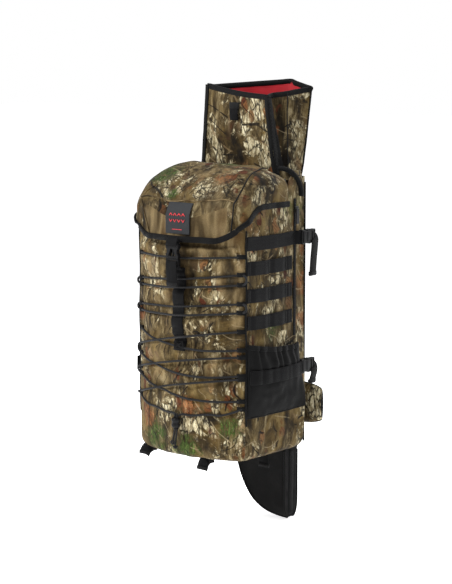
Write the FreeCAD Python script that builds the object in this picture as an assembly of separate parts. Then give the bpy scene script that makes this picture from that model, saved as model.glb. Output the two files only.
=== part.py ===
import FreeCAD, Part
import math
import os

# Hunting backpack of camouflage cloth with a rifle scabbard behind its main
# compartment.  Millimetres.  X is the pack's width, -Y its front, +Y the
# wearer's back, and Z is up.  The modelling frame has z = 0 at the bag's
# bottom and y = 0 at the rear of the main compartment.  save() moves every
# piece so that the origin is where the haul loop hangs from a hook.

V = FreeCAD.Vector
os.makedirs("parts", exist_ok=True)

# ---- driving dimensions -------------------------------------------------
HALF = 125.0            # half of the bag's width
FRONT_EDGE = -168.0     # the two front seams
FRONT_BULGE = -206.0    # the front panel at its middle
BACK = 10.0             # outer face of the back panel
CLOTH = 4.0             # wall of padded cloth
BODY_TOP = 462.0        # top of the side walls
FRONT_TOP = 428.0       # top of the front wall, under the lid
REAR_TOP = 506.0        # top of the rifle compartment behind the lid
DIVIDER = -46.0         # wall between the main and the rifle compartment
WEBBING = 25.0          # width of the webbing
WEB_THICK = 2.0         # its thickness

LID_HALF = 130.0
LID_EDGE = 395.0        # lid's lower edge at the front
LID_SIDE_EDGE = 455.0   # and on the sides
LID_CREST = 532.0
LID_REAR = -50.0
LID_CLOTH = 4.0

SLEEVE_FOOT = 512.0     # the scabbard's upper sleeve starts here
SLEEVE_WALL = 3.0
ROW_PITCH = 49.0        # webbing ladder
ROW_TOP = 362.0

HOOK = V(0, 32, 547)    # where the haul loop bears on a hook


# ---- helpers ------------------------------------------------------------
def save(name, shape):
    """Write one sub-part, moved so that the hook point is the origin."""
    moved = shape.copy()
    moved.translate(HOOK.negative())
    moved.exportStep("parts/" + name + ".step")


def box(x0, x1, y0, y1, z0, z1):
    return Part.makeBox(x1 - x0, y1 - y0, z1 - z0, V(x0, y0, z0))


def prism(points, travel):
    """A closed outline of points, pushed along the travel vector."""
    wire = Part.makePolygon(points + [points[0]])
    return Part.Face(wire).extrude(travel)


def side_prism(outline, x0, x1):
    """An outline of (y, z) pairs, pushed from x0 to x1."""
    return prism([V(x0, y, z) for y, z in outline], V(x1 - x0, 0, 0))


def front_prism(outline, y0, y1):
    """An outline of (x, z) pairs, pushed from y0 to y1."""
    return prism([V(x, y0, z) for x, z in outline], V(0, y1 - y0, 0))


def bag_outline(half, edge, bulge, rear, z):
    """Plan of the bag: straight sides and rear, and a bowed front."""
    left = V(-half, edge, z)
    right = V(half, edge, z)
    front = Part.Arc(left, V(0, bulge, z), right).toShape()
    sides = Part.makePolygon([right, V(half, rear, z), V(-half, rear, z), left])
    return Part.Face(Part.Wire([front] + sides.Edges))


def bag_prism(half, edge, bulge, rear, z0, z1):
    return bag_outline(half, edge, bulge, rear, z0).extrude(V(0, 0, z1 - z0))


def block(low, high):
    """A solid with eight corners: four below and four above, flat triangles between."""
    sides = [(low[0], low[2], low[1]), (low[0], low[3], low[2]), (high[0], high[1], high[2]),
             (high[0], high[2], high[3]), (low[0], low[1], high[1]), (low[0], high[1], high[0]),
             (low[2], low[3], high[2]), (low[3], high[3], high[2]),
             (low[0], high[0], high[3]), (low[0], high[3], low[3]),
             (low[1], low[2], high[2]), (low[1], high[2], high[1])]
    faces = [Part.Face(Part.makePolygon([a, b, c, a])) for a, b, c in sides]
    solid = Part.Solid(Part.Shell(faces))
    if solid.Volume < 0:
        solid.reverse()
    return solid


def tube(points, radius):
    """A round cord through points, with arcs as large as the runs allow."""
    edges = []
    start = points[0]
    for i in range(1, len(points) - 1):
        before = points[i] - points[i - 1]
        after = points[i + 1] - points[i]
        turn = before.getAngle(after)
        shorter = min(before.Length, after.Length)
        cut = 0.45 * shorter
        into = points[i] - V(before).normalize() * cut
        out = points[i] + V(after).normalize() * cut
        bend = cut / math.tan(turn / 2)
        inward = (V(after).normalize() - V(before).normalize()).normalize()
        middle = points[i] + inward * (bend / math.cos(turn / 2) - bend)
        edges.append(Part.LineSegment(start, into).toShape())
        edges.append(Part.Arc(into, middle, out).toShape())
        start = out
    edges.append(Part.LineSegment(start, points[-1]).toShape())
    path = Part.Wire(edges)
    along = points[1] - points[0]
    section = Part.Wire(Part.makeCircle(radius, points[0], along))
    return path.makePipeShell([section], True, False)


def group(shapes):
    return Part.makeCompound(shapes)


def mirrored(shape):
    return shape.mirror(V(0, 0, 0), V(1, 0, 0))


def save_pair(name, right):
    save(name + "_right", right)
    save(name + "_left", mirrored(right))


# ---- bag shell ----------------------------------------------------------
def bag_shell():
    inner = HALF - CLOTH
    outer_front = bag_prism(HALF, FRONT_EDGE, FRONT_BULGE, FRONT_EDGE + 1, 6, FRONT_TOP)
    hollow = bag_prism(inner, FRONT_EDGE, FRONT_BULGE + CLOTH, BACK, 0, BODY_TOP)
    side_room = box(-HALF - 1, HALF + 1, FRONT_EDGE, BACK, 0, BODY_TOP)
    side = box(inner, HALF, FRONT_EDGE, BACK - CLOTH, 6, BODY_TOP)
    shoulder = box(inner, HALF, DIVIDER, BACK - CLOTH, BODY_TOP, REAR_TOP)
    save("front_panel", outer_front.cut(hollow).cut(side_room))
    save_pair("side_panel", side.fuse(shoulder).removeSplitter())
    floor = bag_prism(HALF, FRONT_EDGE, FRONT_BULGE, BACK, 0, 6)
    rifle_slot = box(-14, 100, DIVIDER + 4, BACK - CLOTH, -1, 7)
    save("bottom_panel", floor.cut(rifle_slot))
    save("back_panel", box(-HALF, HALF, BACK - CLOTH, BACK, 6, REAR_TOP))
    save("rifle_divider", box(-inner, inner, DIVIDER, DIVIDER + 3, 6, REAR_TOP))


def inner_frame():
    """A stiffener sheet with two flat bars, in a pocket of the back panel."""
    face = BACK - CLOTH
    save("frame_sheet", box(-105, 105, face - 2, face, 30, 455))
    bars = [box(x - 12.5, x + 12.5, face - 5, face - 2, 35, 450) for x in (-60, 60)]
    save("frame_stays", group(bars))


# ---- lid ----------------------------------------------------------------
LID_PROFILE = [(-30, 526), (-50, 526), (-105, LID_CREST), (-160, 508), (-196, 474),
               (-214, 440), (-230, 395), (-230, 380), (-30, 380)]


def lid_cap():
    drop = [(y, z - LID_CLOTH) for y, z in LID_PROFILE[:4]]
    drop += [(y + 3, z - 3) for y, z in LID_PROFILE[4:6]] + [(-240, 380), (-20, 370), (-20, 522)]
    outer = bag_prism(LID_HALF, FRONT_EDGE - 6, -216, LID_REAR, LID_EDGE, 560)
    inner = bag_prism(LID_HALF - LID_CLOTH, FRONT_EDGE - 2, -211, 0, 370, 560)
    outer = outer.common(side_prism(LID_PROFILE, -140, 140))
    inner = inner.common(side_prism(drop, -140, 140))
    cap = outer.cut(inner)
    raised = [(-240, 380), (-240, 424), (-196, 440), (-176, LID_SIDE_EDGE),
              (0, LID_SIDE_EDGE), (0, 380)]
    corner = side_prism(raised, 104, 150)
    return cap.cut(corner).cut(mirrored(corner))


def lid():
    cap = lid_cap()
    band = box(-150, 150, -250, 0, 380, LID_EDGE + 7)
    side_band = box(100, 150, -176, 0, LID_SIDE_EDGE, LID_SIDE_EDGE + 7)
    edge = group([band, side_band, mirrored(side_band)])
    save("lid_panel", cap.cut(band).cut(side_band).cut(mirrored(side_band)))
    save("lid_edge_binding", group([cap.common(piece) for piece in edge.Solids]))
    outer = bag_prism(LID_HALF, FRONT_EDGE - 6, -216, LID_REAR, LID_EDGE, 560)
    outer = outer.common(side_prism(LID_PROFILE, -140, 140))
    proud = [(-217.5, 408), (-217.5, 436), (-215.7, 440), (-204.8, 462), (-195, 462), (-195, 408)]
    save("lid_patch", side_prism(proud, -34, 34).cut(outer))
    tab = side_prism([(-216, 386), (-218, 386), (-218, 406), (-216, 406)], -12.5, 12.5)
    save("lid_buckle_tab", tab)


# ---- lid buckle ---------------------------------------------------------
def side_release_female():
    """Housing with a pocket open at the bottom; mouth at z = 0, back at y = 0."""
    shell = box(-14, 14, -9, 0, 0, 24)
    upright = [edge for edge in shell.Edges if abs(edge.tangentAt(0).z) > 0.9]
    shell = shell.makeFillet(2, upright)
    pocket = box(-11, 11, -6.4, -2.6, -1, 21)
    windows = box(-20, 20, -6.4, -2.6, 8, 16)
    return shell.cut(pocket).cut(windows)


def side_release_male():
    """Base with a webbing slot and the middle tongue."""
    base = box(-13, 13, -8.5, -0.5, -15, -0.5)
    slot = box(-10, 10, -10, 1, -11.5, -8)
    tongue = box(-2, 2, -6.1, -2.9, -0.5, 19)
    return base.cut(slot).fuse(tongue)


def side_release_prong():
    return box(5, 9.5, -6.1, -2.9, -0.5, 19)


LID_BUCKLE = V(0, -218, 367)    # mouth of the lid buckle's housing


def lid_buckle():
    parts = {"lid_buckle_female": side_release_female(), "lid_buckle_male": side_release_male(),
             "lid_buckle_prong_right": side_release_prong(),
             "lid_buckle_prong_left": mirrored(side_release_prong())}
    for name, shape in parts.items():
        shape.translate(LID_BUCKLE)
        save(name, shape)
    half = WEBBING / 2
    save("lid_strap_tail", box(-half, half, -228.5, -226.5, 318, 358))
    strap = box(-half, half, FRONT_BULGE - WEB_THICK, FRONT_BULGE, 200, 350)
    save("front_strap", strap)


# ---- bungee lace on the front -------------------------------------------
LACE_RADIUS = 2.0
LACE_END = 114.0
# heights of each run at the left and the right edge
LACE_RUNS = [(365, 372), (318, 340), (306, 322), (270, 288), (258, 272), (225, 205),
             (195, 238), (178, 158), (152, 192), (139, 112), (104, 152)]


def front_depth(x):
    """How far out the front panel is at x."""
    sagitta = FRONT_EDGE - FRONT_BULGE
    radius = (HALF * HALF + sagitta * sagitta) / (2 * sagitta)
    return FRONT_BULGE + radius - math.sqrt(radius * radius - x * x)


def lace_run(low, high, clear):
    points = []
    for step in range(-2, 3):
        x = LACE_END * step / 2
        height = (low + high) / 2 + (high - low) * step / 4
        points.append(V(x, front_depth(x) - clear, height))
    return tube(points, LACE_RADIUS)


def lace():
    runs = []
    for left, right in LACE_RUNS:
        rising = right > left
        runs.append(lace_run(left, right, 5.5 if rising else 10.5))
    low = [V(x, front_depth(x) - 5.5, z) for x, z in ((-LACE_END, 94), (-60, 88), (-3, 84))]
    runs.append(tube(low, LACE_RADIUS))
    runs.append(mirrored(tube([V(p.x, p.y, p.z + 6 * (-p.x - 3) / 111) for p in low], LACE_RADIUS)))
    save("lace", group(runs))
    bag = bag_prism(HALF, FRONT_EDGE, FRONT_BULGE, BACK, 0, BODY_TOP)
    loops = []
    for left, right in LACE_RUNS + [(94, 100)]:
        for sign, z in ((-1, left), (1, right)):
            loop = box(LACE_END + 1.5, 124, -186, -160, z - 3, z + 3).cut(bag)
            loops.append(loop if sign > 0 else mirrored(loop))
    save("lace_loops", group(loops))


CORDLOCK = V(0, -216, 66)


def cord_lock():
    """Barrel on the lace's hanging tail, with a button that is pressed up."""
    barrel = Part.makeCylinder(9, 18, V(0, 0, -9)).cut(Part.makeCylinder(2.6, 30, V(0, 0, -15)))
    barrel = barrel.cut(box(3.4, 7.6, -3.4, 3.4, -9.1, 5))
    button = box(3.8, 7.2, -3, 3, -14, 0.5)
    tail = Part.makeCylinder(LACE_RADIUS, 62, V(0, 0, -44))
    knot = Part.makeSphere(4, V(0, 0, -47.5))
    parts = {"cord_lock_body": barrel, "cord_lock_button": button, "lace_tail": tail.fuse(knot)}
    for name, shape in parts.items():
        shape.translate(CORDLOCK)
        save(name, shape)


# ---- side pockets, webbing and compression straps -----------------------
POCKET_PATH = [(HALF, -166), (146, -150), (146, -36), (HALF, -18)]
POCKET_BOTTOM = 66.0
POCKET_TOP = 203.0
MESH = 2.0


def offset_path(path, distance):
    """The same open path, moved to its right-hand side."""
    moved = []
    for i, (x, y) in enumerate(path):
        before = path[max(i - 1, 0)]
        after = path[min(i + 1, len(path) - 1)]
        along = V(after[0] - before[0], after[1] - before[1], 0).normalize()
        moved.append((x + along.y * distance, y - along.x * distance))
    return moved


def strip(path, near, far, z0, z1):
    """An upright band between two offsets of a path in plan."""
    ring = offset_path(path, near) + offset_path(path, far)[::-1]
    return prism([V(x, y, z0) for x, y in ring], V(0, 0, z1 - z0))


def side_pocket():
    wall = strip(POCKET_PATH, 0, MESH, POCKET_BOTTOM, POCKET_TOP)
    floor = prism([V(x, y, POCKET_BOTTOM - MESH) for x, y in offset_path(POCKET_PATH, MESH)], V(0, 0, MESH))
    outside = box(HALF, 200, -200, 20, 0, 300)
    save_pair("mesh_pocket", wall.fuse(floor).common(outside))
    hem = strip(POCKET_PATH, 0, MESH + 1, POCKET_TOP, POCKET_TOP + 9)
    hem = hem.common(outside)
    save("mesh_pocket_hems", group([hem, mirrored(hem)]))


def webbing_ladder():
    rows = []
    for row in range(3):
        top = ROW_TOP - row * ROW_PITCH
        rows.append(box(HALF, HALF + WEB_THICK, -166, -32, top - WEBBING, top))
    save("webbing_ladders", group(rows + [mirrored(row) for row in rows]))


def compression(name, z, path, tail_length):
    """Strap along the side, a side-release buckle behind it and its loose tail."""
    band = strip(path, 0, WEB_THICK, z, z + WEBBING)
    band = band.common(box(HALF, 200, -200, 20, 0, 500))
    middle = z + WEBBING / 2
    female = box(127.3, 135, -14, 10, middle - 14, middle + 14)
    female = female.cut(box(129.3, 133.1, -11, 11, middle - 11, middle + 11))
    male = box(127.5, 134.8, 10.5, 24, middle - 13, middle + 13)
    male = male.cut(box(120, 140, 18, 21, middle - 10, middle + 10))
    for low in (-9.5, -2, 5):
        male = male.fuse(box(129.6, 132.8, -9, 10.5, middle + low, middle + low + 4))
    tail = box(128, 130, 11, 36, middle - 13 - tail_length, middle - 13)
    save_pair(name + "_buckle_insert", male.fuse(tail))
    return [band, mirrored(band)], [female, mirrored(female)]


# ---- rifle scabbard -----------------------------------------------------
# corners in plan: front left, front right, rear right, rear fold, rear left
SLEEVE_BASE = [(-84, DIVIDER), (118, DIVIDER), (118, BACK), (60, BACK), (-84, BACK)]
SLEEVE_MOUTH = [(-76, -30), (80, -48), (116, 42), (63, 50), (-62, -8)]
SLEEVE_TOPS = [672, 655, 668, 680, 669]
SLEEVE_INWARD = [(1, 1), (-1, 1), (-1, -1), (0, -1), (1, -1)]
SLEEVE_PANELS = [("front", [0]), ("gusset_right", [1]), ("back", [2, 3]), ("gusset_left", [4])]


def sleeve_ring(share, amount):
    """Corner points of the sleeve between its foot (0) and its mouth (1), moved in by amount."""
    ring = []
    for base, mouth, top, inward in zip(SLEEVE_BASE, SLEEVE_MOUTH, SLEEVE_TOPS, SLEEVE_INWARD):
        x = base[0] + (mouth[0] - base[0]) * share + inward[0] * amount
        y = base[1] + (mouth[1] - base[1]) * share + inward[1] * amount
        ring.append(V(x, y, SLEEVE_FOOT + (top - SLEEVE_FOOT) * share))
    return ring


def sleeve_wall(first, low, high, near, far):
    """The wall after a corner, from share low to high of the height."""
    second = (first + 1) % len(SLEEVE_BASE)
    rings = []
    for share in (low, high):
        outer = sleeve_ring(share, near)
        inner = sleeve_ring(share, far)
        rings.append([outer[first], outer[second], inner[second], inner[first]])
    return block(rings[0], rings[1])


def scabbard():
    hem = 0.96
    bindings = []
    lining = []
    for name, walls in SLEEVE_PANELS:
        panel = sleeve_wall(walls[0], 0, hem, 0, SLEEVE_WALL)
        for wall in walls[1:]:
            panel = panel.fuse(sleeve_wall(wall, 0, hem, 0, SLEEVE_WALL))
        save("scabbard_" + name, panel)
        for wall in walls:
            bindings.append(sleeve_wall(wall, hem, 1, 0, SLEEVE_WALL))
            inner = sleeve_wall(wall, 0.7, hem, SLEEVE_WALL + 0.5, SLEEVE_WALL + 1.5)
            lining.append(inner.cut(panel))
    save("scabbard_binding", group(bindings))
    save("scabbard_lining", group(lining))
    yoke = box(-HALF, HALF, DIVIDER, BACK, REAR_TOP, SLEEVE_FOOT)
    edge = SLEEVE_WALL
    yoke = yoke.cut(box(-84 + edge, 118 - edge, DIVIDER + edge, BACK - edge, 500, 520))
    save("rear_yoke", yoke)
    corners = []
    for share in (0.62, 0.76):
        outer = sleeve_ring(share, -1.5)
        inner = sleeve_ring(share, 0)
        left = [ring[0] + (ring[1] - ring[0]) * 0.42 for ring in (outer, inner)]
        right = [ring[0] + (ring[1] - ring[0]) * 0.54 for ring in (outer, inner)]
        corners.append([left[0], right[0], right[1], left[1]])
    front = sleeve_wall(0, 0, hem, 0, SLEEVE_WALL)
    save("scabbard_tab", block(corners[0], corners[1]).cut(front))


BUTT_OUTLINE = [(-14, -2), (102, -2), (102, -138), (62, -131), (30, -112), (8, -82), (-8, -42)]
BUTT_FRONT = -22.0
BUTT_REAR = 20.0


def butt_pocket():
    """Open pouch below the rifle slot; its wall follows the outline."""
    middle = 60
    inner = [(x + math.copysign(2.5, middle - x), z + (2.5 if z < -100 else 0)) for x, z in BUTT_OUTLINE]
    inner = [(x, 1.0) if z > -3 else (x, z) for x, z in inner]
    outer = front_prism(BUTT_OUTLINE, BUTT_FRONT, BUTT_REAR)
    hollow = front_prism(inner, BUTT_FRONT - 1, BUTT_REAR + 1)
    front = box(-50, 150, BUTT_FRONT, BUTT_FRONT + 2.5, -200, 10)
    back = box(-50, 150, BUTT_REAR - 2.5, BUTT_REAR, -200, 10)
    save("butt_pocket_front", outer.common(front))
    save("butt_pocket_back", outer.common(back))
    save("butt_pocket_gusset", outer.cut(hollow).cut(front).cut(back))


# ---- rear compartment zip -----------------------------------------------
ZIP_TOP = 452.0


def rear_zip():
    tapes = [box(HALF, HALF + 1.5, -30, -20, low, high) for low, high in ((412, 460), (216, 378))]
    save("rear_zip_tape", group(tapes))
    slider = box(HALF + 1.8, HALF + 5, -30, -20, ZIP_TOP - 12, ZIP_TOP)
    save("zip_slider", slider.cut(box(HALF + 3, HALF + 6, -26.5, -23.5, ZIP_TOP - 8, ZIP_TOP - 4)))
    pull = box(HALF + 5.8, HALF + 7.3, -29, -21, ZIP_TOP - 32, ZIP_TOP - 4.2)
    save("zip_pull", pull)


# ---- carrying system ----------------------------------------------------
LOOP_FOOT = 500.0
PAD = 14.0


def haul_loop():
    outer = [(-28, 0), (-28, 30), (-18, 45), (0, 50), (18, 45), (28, 30), (28, 0)]
    inner = [(25, 0), (25, 29), (16, 42), (0, 47), (-16, 42), (-25, 29), (-25, 0)]
    arch = front_prism([(x, LOOP_FOOT + z) for x, z in outer + inner], 20, 44)
    foot = box(-28, 28, BACK, 44, LOOP_FOOT - 10, LOOP_FOOT)
    save("haul_loop", arch.fuse(foot))


def back_pads():
    pads = [box(x - 30, x + 30, BACK, BACK + PAD, z, z + 150) for x in (-52, 52) for z in (130, 300)]
    save("back_pads", group(pads))
    lumbar = box(-70, 70, BACK, BACK + 26, 22, 118)
    save("lumbar_pad", lumbar)


def shoulder_straps():
    profile = [(BACK + PAD, 452), (BACK + PAD, 466), (46, 462), (62, 420), (66, 340), (60, 240), (48, 200),
               (40, 204), (50, 244), (55, 340), (51, 412), (38, 446)]
    against_back = box(0, 200, 0, BACK + PAD, 0, 600)
    save_pair("shoulder_strap", side_prism(profile, 30, 84).cut(against_back))
    web = [(40, 204), (48, 200), (30, 128), (BACK, 121), (BACK, 126), (24, 132)]
    web = side_prism(web, 44.5, 69.5).cut(box(0, 200, 0, BACK + PAD, 129, 600))
    rails = [box(x - 10, x + 10, 66, 67.5, 282, 378) for x in (-57, 57)]
    save("shoulder_webbing", group([web, mirrored(web)] + rails))
    lifter = [(BACK, 463), (BACK, 467.5), (14, 471.5), (48, 466.5), (46, 462.2), (15, 468.4)]
    lifter = side_prism(lifter, 52, 72)
    save("load_lifters", group([lifter, mirrored(lifter)]))


def sternum():
    """Chest strap with its closed buckle, which slides on two webbing rails."""
    strap = box(-70, 70, 68, 70, 321, 341)
    buckle = box(-20, 20, 67.8, 76, 317, 345)
    save("sternum_strap", strap.fuse(buckle))


def hip_belt():
    """Padded wings folded behind the pack, with webbing and a buckle."""
    wing = prism([V(77, BACK + 18, 0), V(77, BACK + 28, 0), V(150, BACK + 26, 0), V(156, BACK + 14, 0),
                  V(148, BACK + 10, 0), V(100, BACK + 12, 0)], V(0, 0, 74))
    wing.translate(V(0, 0, 42))
    save_pair("hip_wing", wing)
    strap = box(88, 140, BACK + 28.2, BACK + 30.2, 75, 100)
    save_pair("hip_strap", strap)


def bottom_tails():
    tails = [box(-117, -95, -172, -170, -16, 0), box(32, 57, -190, -188, -24, 0),
             box(72, 97, -62, -60, -34, 0)]
    save("bottom_tails", group(tails))


def main():
    bag_shell()
    inner_frame()
    lid()
    lid_buckle()
    lace()
    cord_lock()
    side_pocket()
    webbing_ladder()
    upper = [(HALF, -166), (HALF, -34), (129.3, -15.5)]
    upper_straps, upper_housings = compression("upper", 382, upper, 62)
    lower = offset_path(POCKET_PATH, MESH)[:3] + [(129.3, -15.5)]
    lower_straps, lower_housings = compression("lower", 142, lower, 22)
    save("compression_straps", group(upper_straps + lower_straps))
    save("compression_buckle_housings", group(upper_housings + lower_housings))
    scabbard()
    butt_pocket()
    rear_zip()
    haul_loop()
    back_pads()
    shoulder_straps()
    sternum()
    hip_belt()
    bottom_tails()


main()
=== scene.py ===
from math import copysign, cos, exp, hypot, pi, radians, sin, sqrt

import bmesh
import bpy
from mathutils import Matrix, Vector, noise


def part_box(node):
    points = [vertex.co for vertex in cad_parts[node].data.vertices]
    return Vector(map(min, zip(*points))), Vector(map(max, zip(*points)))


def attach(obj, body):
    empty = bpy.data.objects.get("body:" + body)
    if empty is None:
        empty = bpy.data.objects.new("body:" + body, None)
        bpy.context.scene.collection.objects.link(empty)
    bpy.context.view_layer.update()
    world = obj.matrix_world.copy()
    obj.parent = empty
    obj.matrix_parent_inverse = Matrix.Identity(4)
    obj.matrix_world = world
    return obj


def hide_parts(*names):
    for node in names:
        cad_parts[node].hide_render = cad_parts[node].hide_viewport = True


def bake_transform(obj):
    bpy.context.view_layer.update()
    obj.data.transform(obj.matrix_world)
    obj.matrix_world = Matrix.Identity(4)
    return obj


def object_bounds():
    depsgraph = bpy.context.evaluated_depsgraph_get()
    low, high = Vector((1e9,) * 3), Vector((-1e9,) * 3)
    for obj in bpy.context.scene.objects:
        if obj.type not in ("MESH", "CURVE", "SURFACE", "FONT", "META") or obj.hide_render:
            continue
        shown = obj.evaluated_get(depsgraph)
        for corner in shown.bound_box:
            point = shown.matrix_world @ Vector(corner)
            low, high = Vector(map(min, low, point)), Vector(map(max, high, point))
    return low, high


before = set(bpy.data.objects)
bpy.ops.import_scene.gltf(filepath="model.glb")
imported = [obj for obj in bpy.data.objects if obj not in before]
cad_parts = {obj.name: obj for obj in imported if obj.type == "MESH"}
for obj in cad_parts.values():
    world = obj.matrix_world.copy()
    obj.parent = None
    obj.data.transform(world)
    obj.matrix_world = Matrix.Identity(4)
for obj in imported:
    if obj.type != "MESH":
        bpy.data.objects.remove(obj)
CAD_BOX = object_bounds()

# The looks of a hunting backpack.  Lengths in this script are millimetres
# from the middle of the bag's floor, with y = 0 a centimetre in front of
# the back panel's outer face and -y towards the front; at() turns them
# into the frame's metres.
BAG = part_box("bottom_panel")
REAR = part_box("back_panel")
BACK = 10.0          # outer face of the back panel
ORIGIN = Vector((0, REAR[1][1] - BACK / 1000, BAG[0][2]))
HALF = (BAG[1][0] - BAG[0][0]) * 500
FRONT_EDGE = -168.0  # the two front seams
BULGE = 33.0         # how far the front bows out of its seams
WALL_TOP = 505.0     # the bag's upper edge at its rear
WEB = 25.0           # width of the webbing
SIDES = (("right", 1), ("left", -1))
QUARTER = radians(90)
FACING_FRONT = Matrix.Rotation(QUARTER, 4, "X")
SIDE_FACE = {sign: Matrix.Rotation(sign * QUARTER, 4, "Z") @ FACING_FRONT for _, sign in SIDES}


def at(x, y, z):
    return ORIGIN + Vector((x, y, z)) / 1000


# ---- mesh helpers -------------------------------------------------------
def settle(name, data, material, body, replaces):
    """A piece with its material, tied to its body and the CAD nodes that it replaces."""
    data.materials.append(M[material])
    piece = bpy.data.objects.new(name, data)
    bpy.context.collection.objects.link(piece)
    if body:
        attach(piece, body)
    if replaces:
        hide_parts(*replaces)
    return piece


def make(name, verts, faces, material, body="root", replaces=()):
    mesh = bpy.data.meshes.new(name)
    mesh.from_pydata([at(*v) for v in verts], [], faces)
    mesh.validate()
    mesh.polygons.foreach_set("use_smooth", [True] * len(mesh.polygons))
    return settle(name, mesh, material, body, replaces)


def fix_normals(piece):
    """Merges doubled points and turns all faces outwards."""
    bm = bmesh.new()
    bm.from_mesh(piece.data)
    bmesh.ops.remove_doubles(bm, verts=bm.verts, dist=1e-6)
    bmesh.ops.recalc_face_normals(bm, faces=bm.faces)
    bm.to_mesh(piece.data)
    bm.free()


def relax(piece, times):
    """Evens out a cloth's folds, leaving its cut edges where they are."""
    bm = bmesh.new()
    bm.from_mesh(piece.data)
    inner = [vert for vert in bm.verts if not vert.is_boundary]
    for _ in range(times):
        bmesh.ops.smooth_vert(bm, verts=inner, factor=0.5, use_axis_x=True, use_axis_y=True, use_axis_z=True)
    bm.to_mesh(piece.data)
    bm.free()


def grid_faces(rows, columns, closed=False):
    """Faces between the points of a grid, whose rows may close into rings."""
    faces = []
    for r in range(rows - 1):
        for c in range(columns if closed else columns - 1):
            d = (c + 1) % columns
            faces.append((r * columns + c, r * columns + d, (r + 1) * columns + d, (r + 1) * columns + c))
    return faces


def tube_faces(rows, columns):
    """Faces of a closed tube with a flat cap at each end."""
    last = (rows - 1) * columns
    caps = [tuple(range(columns))[::-1], tuple(range(last, last + columns))]
    return grid_faces(rows, columns, closed=True) + caps


def grid_points(rows, columns, point):
    """point(r, c) for every place of a grid, row by row."""
    return [point(r, c) for r in range(rows) for c in range(columns)]


def solidify(piece, thickness, offset=-1.0):
    thick = piece.modifiers.new("thickness", "SOLIDIFY")
    thick.thickness = thickness / 1000
    thick.offset = offset
    return thick


def sheet(name, verts, faces, material, thickness, offset=0, body="root", replaces=()):
    """Sewn cloth of a thickness, its faces all looking the same way."""
    piece = make(name, verts, faces, material, body, replaces)
    fix_normals(piece)
    solidify(piece, thickness, offset)
    return piece


def spline(points, steps=8):
    """A smooth open curve through points, as a list of vectors."""
    pts = [Vector(p) for p in points]
    pts = [pts[0] * 2 - pts[1]] + pts + [pts[-1] * 2 - pts[-2]]
    out = []
    for i in range(1, len(pts) - 2):
        for k in range(steps):
            t = k / steps
            a, b, c, d = pts[i - 1], pts[i], pts[i + 1], pts[i + 2]
            out.append(0.5 * ((2 * b) + (c - a) * t + (2 * a - 5 * b + 4 * c - d) * t * t
                              + (3 * b - a - 3 * c + d) * t ** 3))
    out.append(pts[-2])
    return out


def ribbon(name, points, width, thick, facing, material, body="root", replaces=(), smooth_path=True):
    """Flat webbing along a path; facing is the way its face looks, or one per point."""
    path = spline(points) if smooth_path else [Vector(p) for p in points]
    verts = []
    count = len(path)
    for i, p in enumerate(path):
        along = (path[min(i + 1, count - 1)] - path[max(i - 1, 0)]).normalized()
        look = Vector(facing(i / (count - 1)) if callable(facing) else facing)
        look = (look - along * look.dot(along)).normalized()
        across = along.cross(look)
        half = width / 2
        edge = thick / 2
        near = ((-half, -edge * 0.4), (-half + 0.7, -edge), (0, -edge), (half - 0.7, -edge),
            (half, -edge * 0.4))
        for u, v in near + tuple((u, -v) for u, v in near[::-1]):
            verts.append(p + across * u + look * v)
    faces = tube_faces(count, 2 * len(near))
    return make(name, verts, faces, material, body, replaces)


def strap_end(name, tip, up, down, width, thick, facing, body="root"):
    """The doubled and stitched end of a strap, from up to down beside its tip."""
    fold = [Vector(tip) + Vector(up), Vector(tip) + Vector(down)]
    ribbon(name, fold, width, thick, facing, "thread", body, smooth_path=False)


def cord(name, points, radius, material, body="root", replaces=(), closed=False):
    """A round cord or piped edge along a smooth curve."""
    data = bpy.data.curves.new(name, "CURVE")
    data.dimensions = "3D"
    data.bevel_depth = radius / 1000
    data.bevel_resolution = 3
    data.use_fill_caps = True
    line = data.splines.new("NURBS")
    line.points.add(len(points) - 1)
    for control, p in zip(line.points, points):
        control.co = (*at(*p), 1)
    line.order_u = 3
    line.use_endpoint_u = not closed
    line.use_cyclic_u = closed
    line.resolution_u = 6
    return settle(name, data, material, body, replaces)


def join(name, pieces):
    """Several mesh pieces as one object with their own materials."""
    main = pieces[0]
    bm = bmesh.new()
    materials = []
    for piece in pieces:
        before = len(bm.faces)
        bm.from_mesh(piece.data)
        bm.faces.ensure_lookup_table()
        for face in bm.faces[before:]:
            material = piece.data.materials[face.material_index]
            if material not in materials:
                materials.append(material)
            face.material_index = materials.index(material)
    bm.to_mesh(main.data)
    bm.free()
    main.data.materials.clear()
    for material in materials:
        main.data.materials.append(material)
    for piece in pieces[1:]:
        bpy.data.objects.remove(piece)
    main.name = name
    return main


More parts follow.
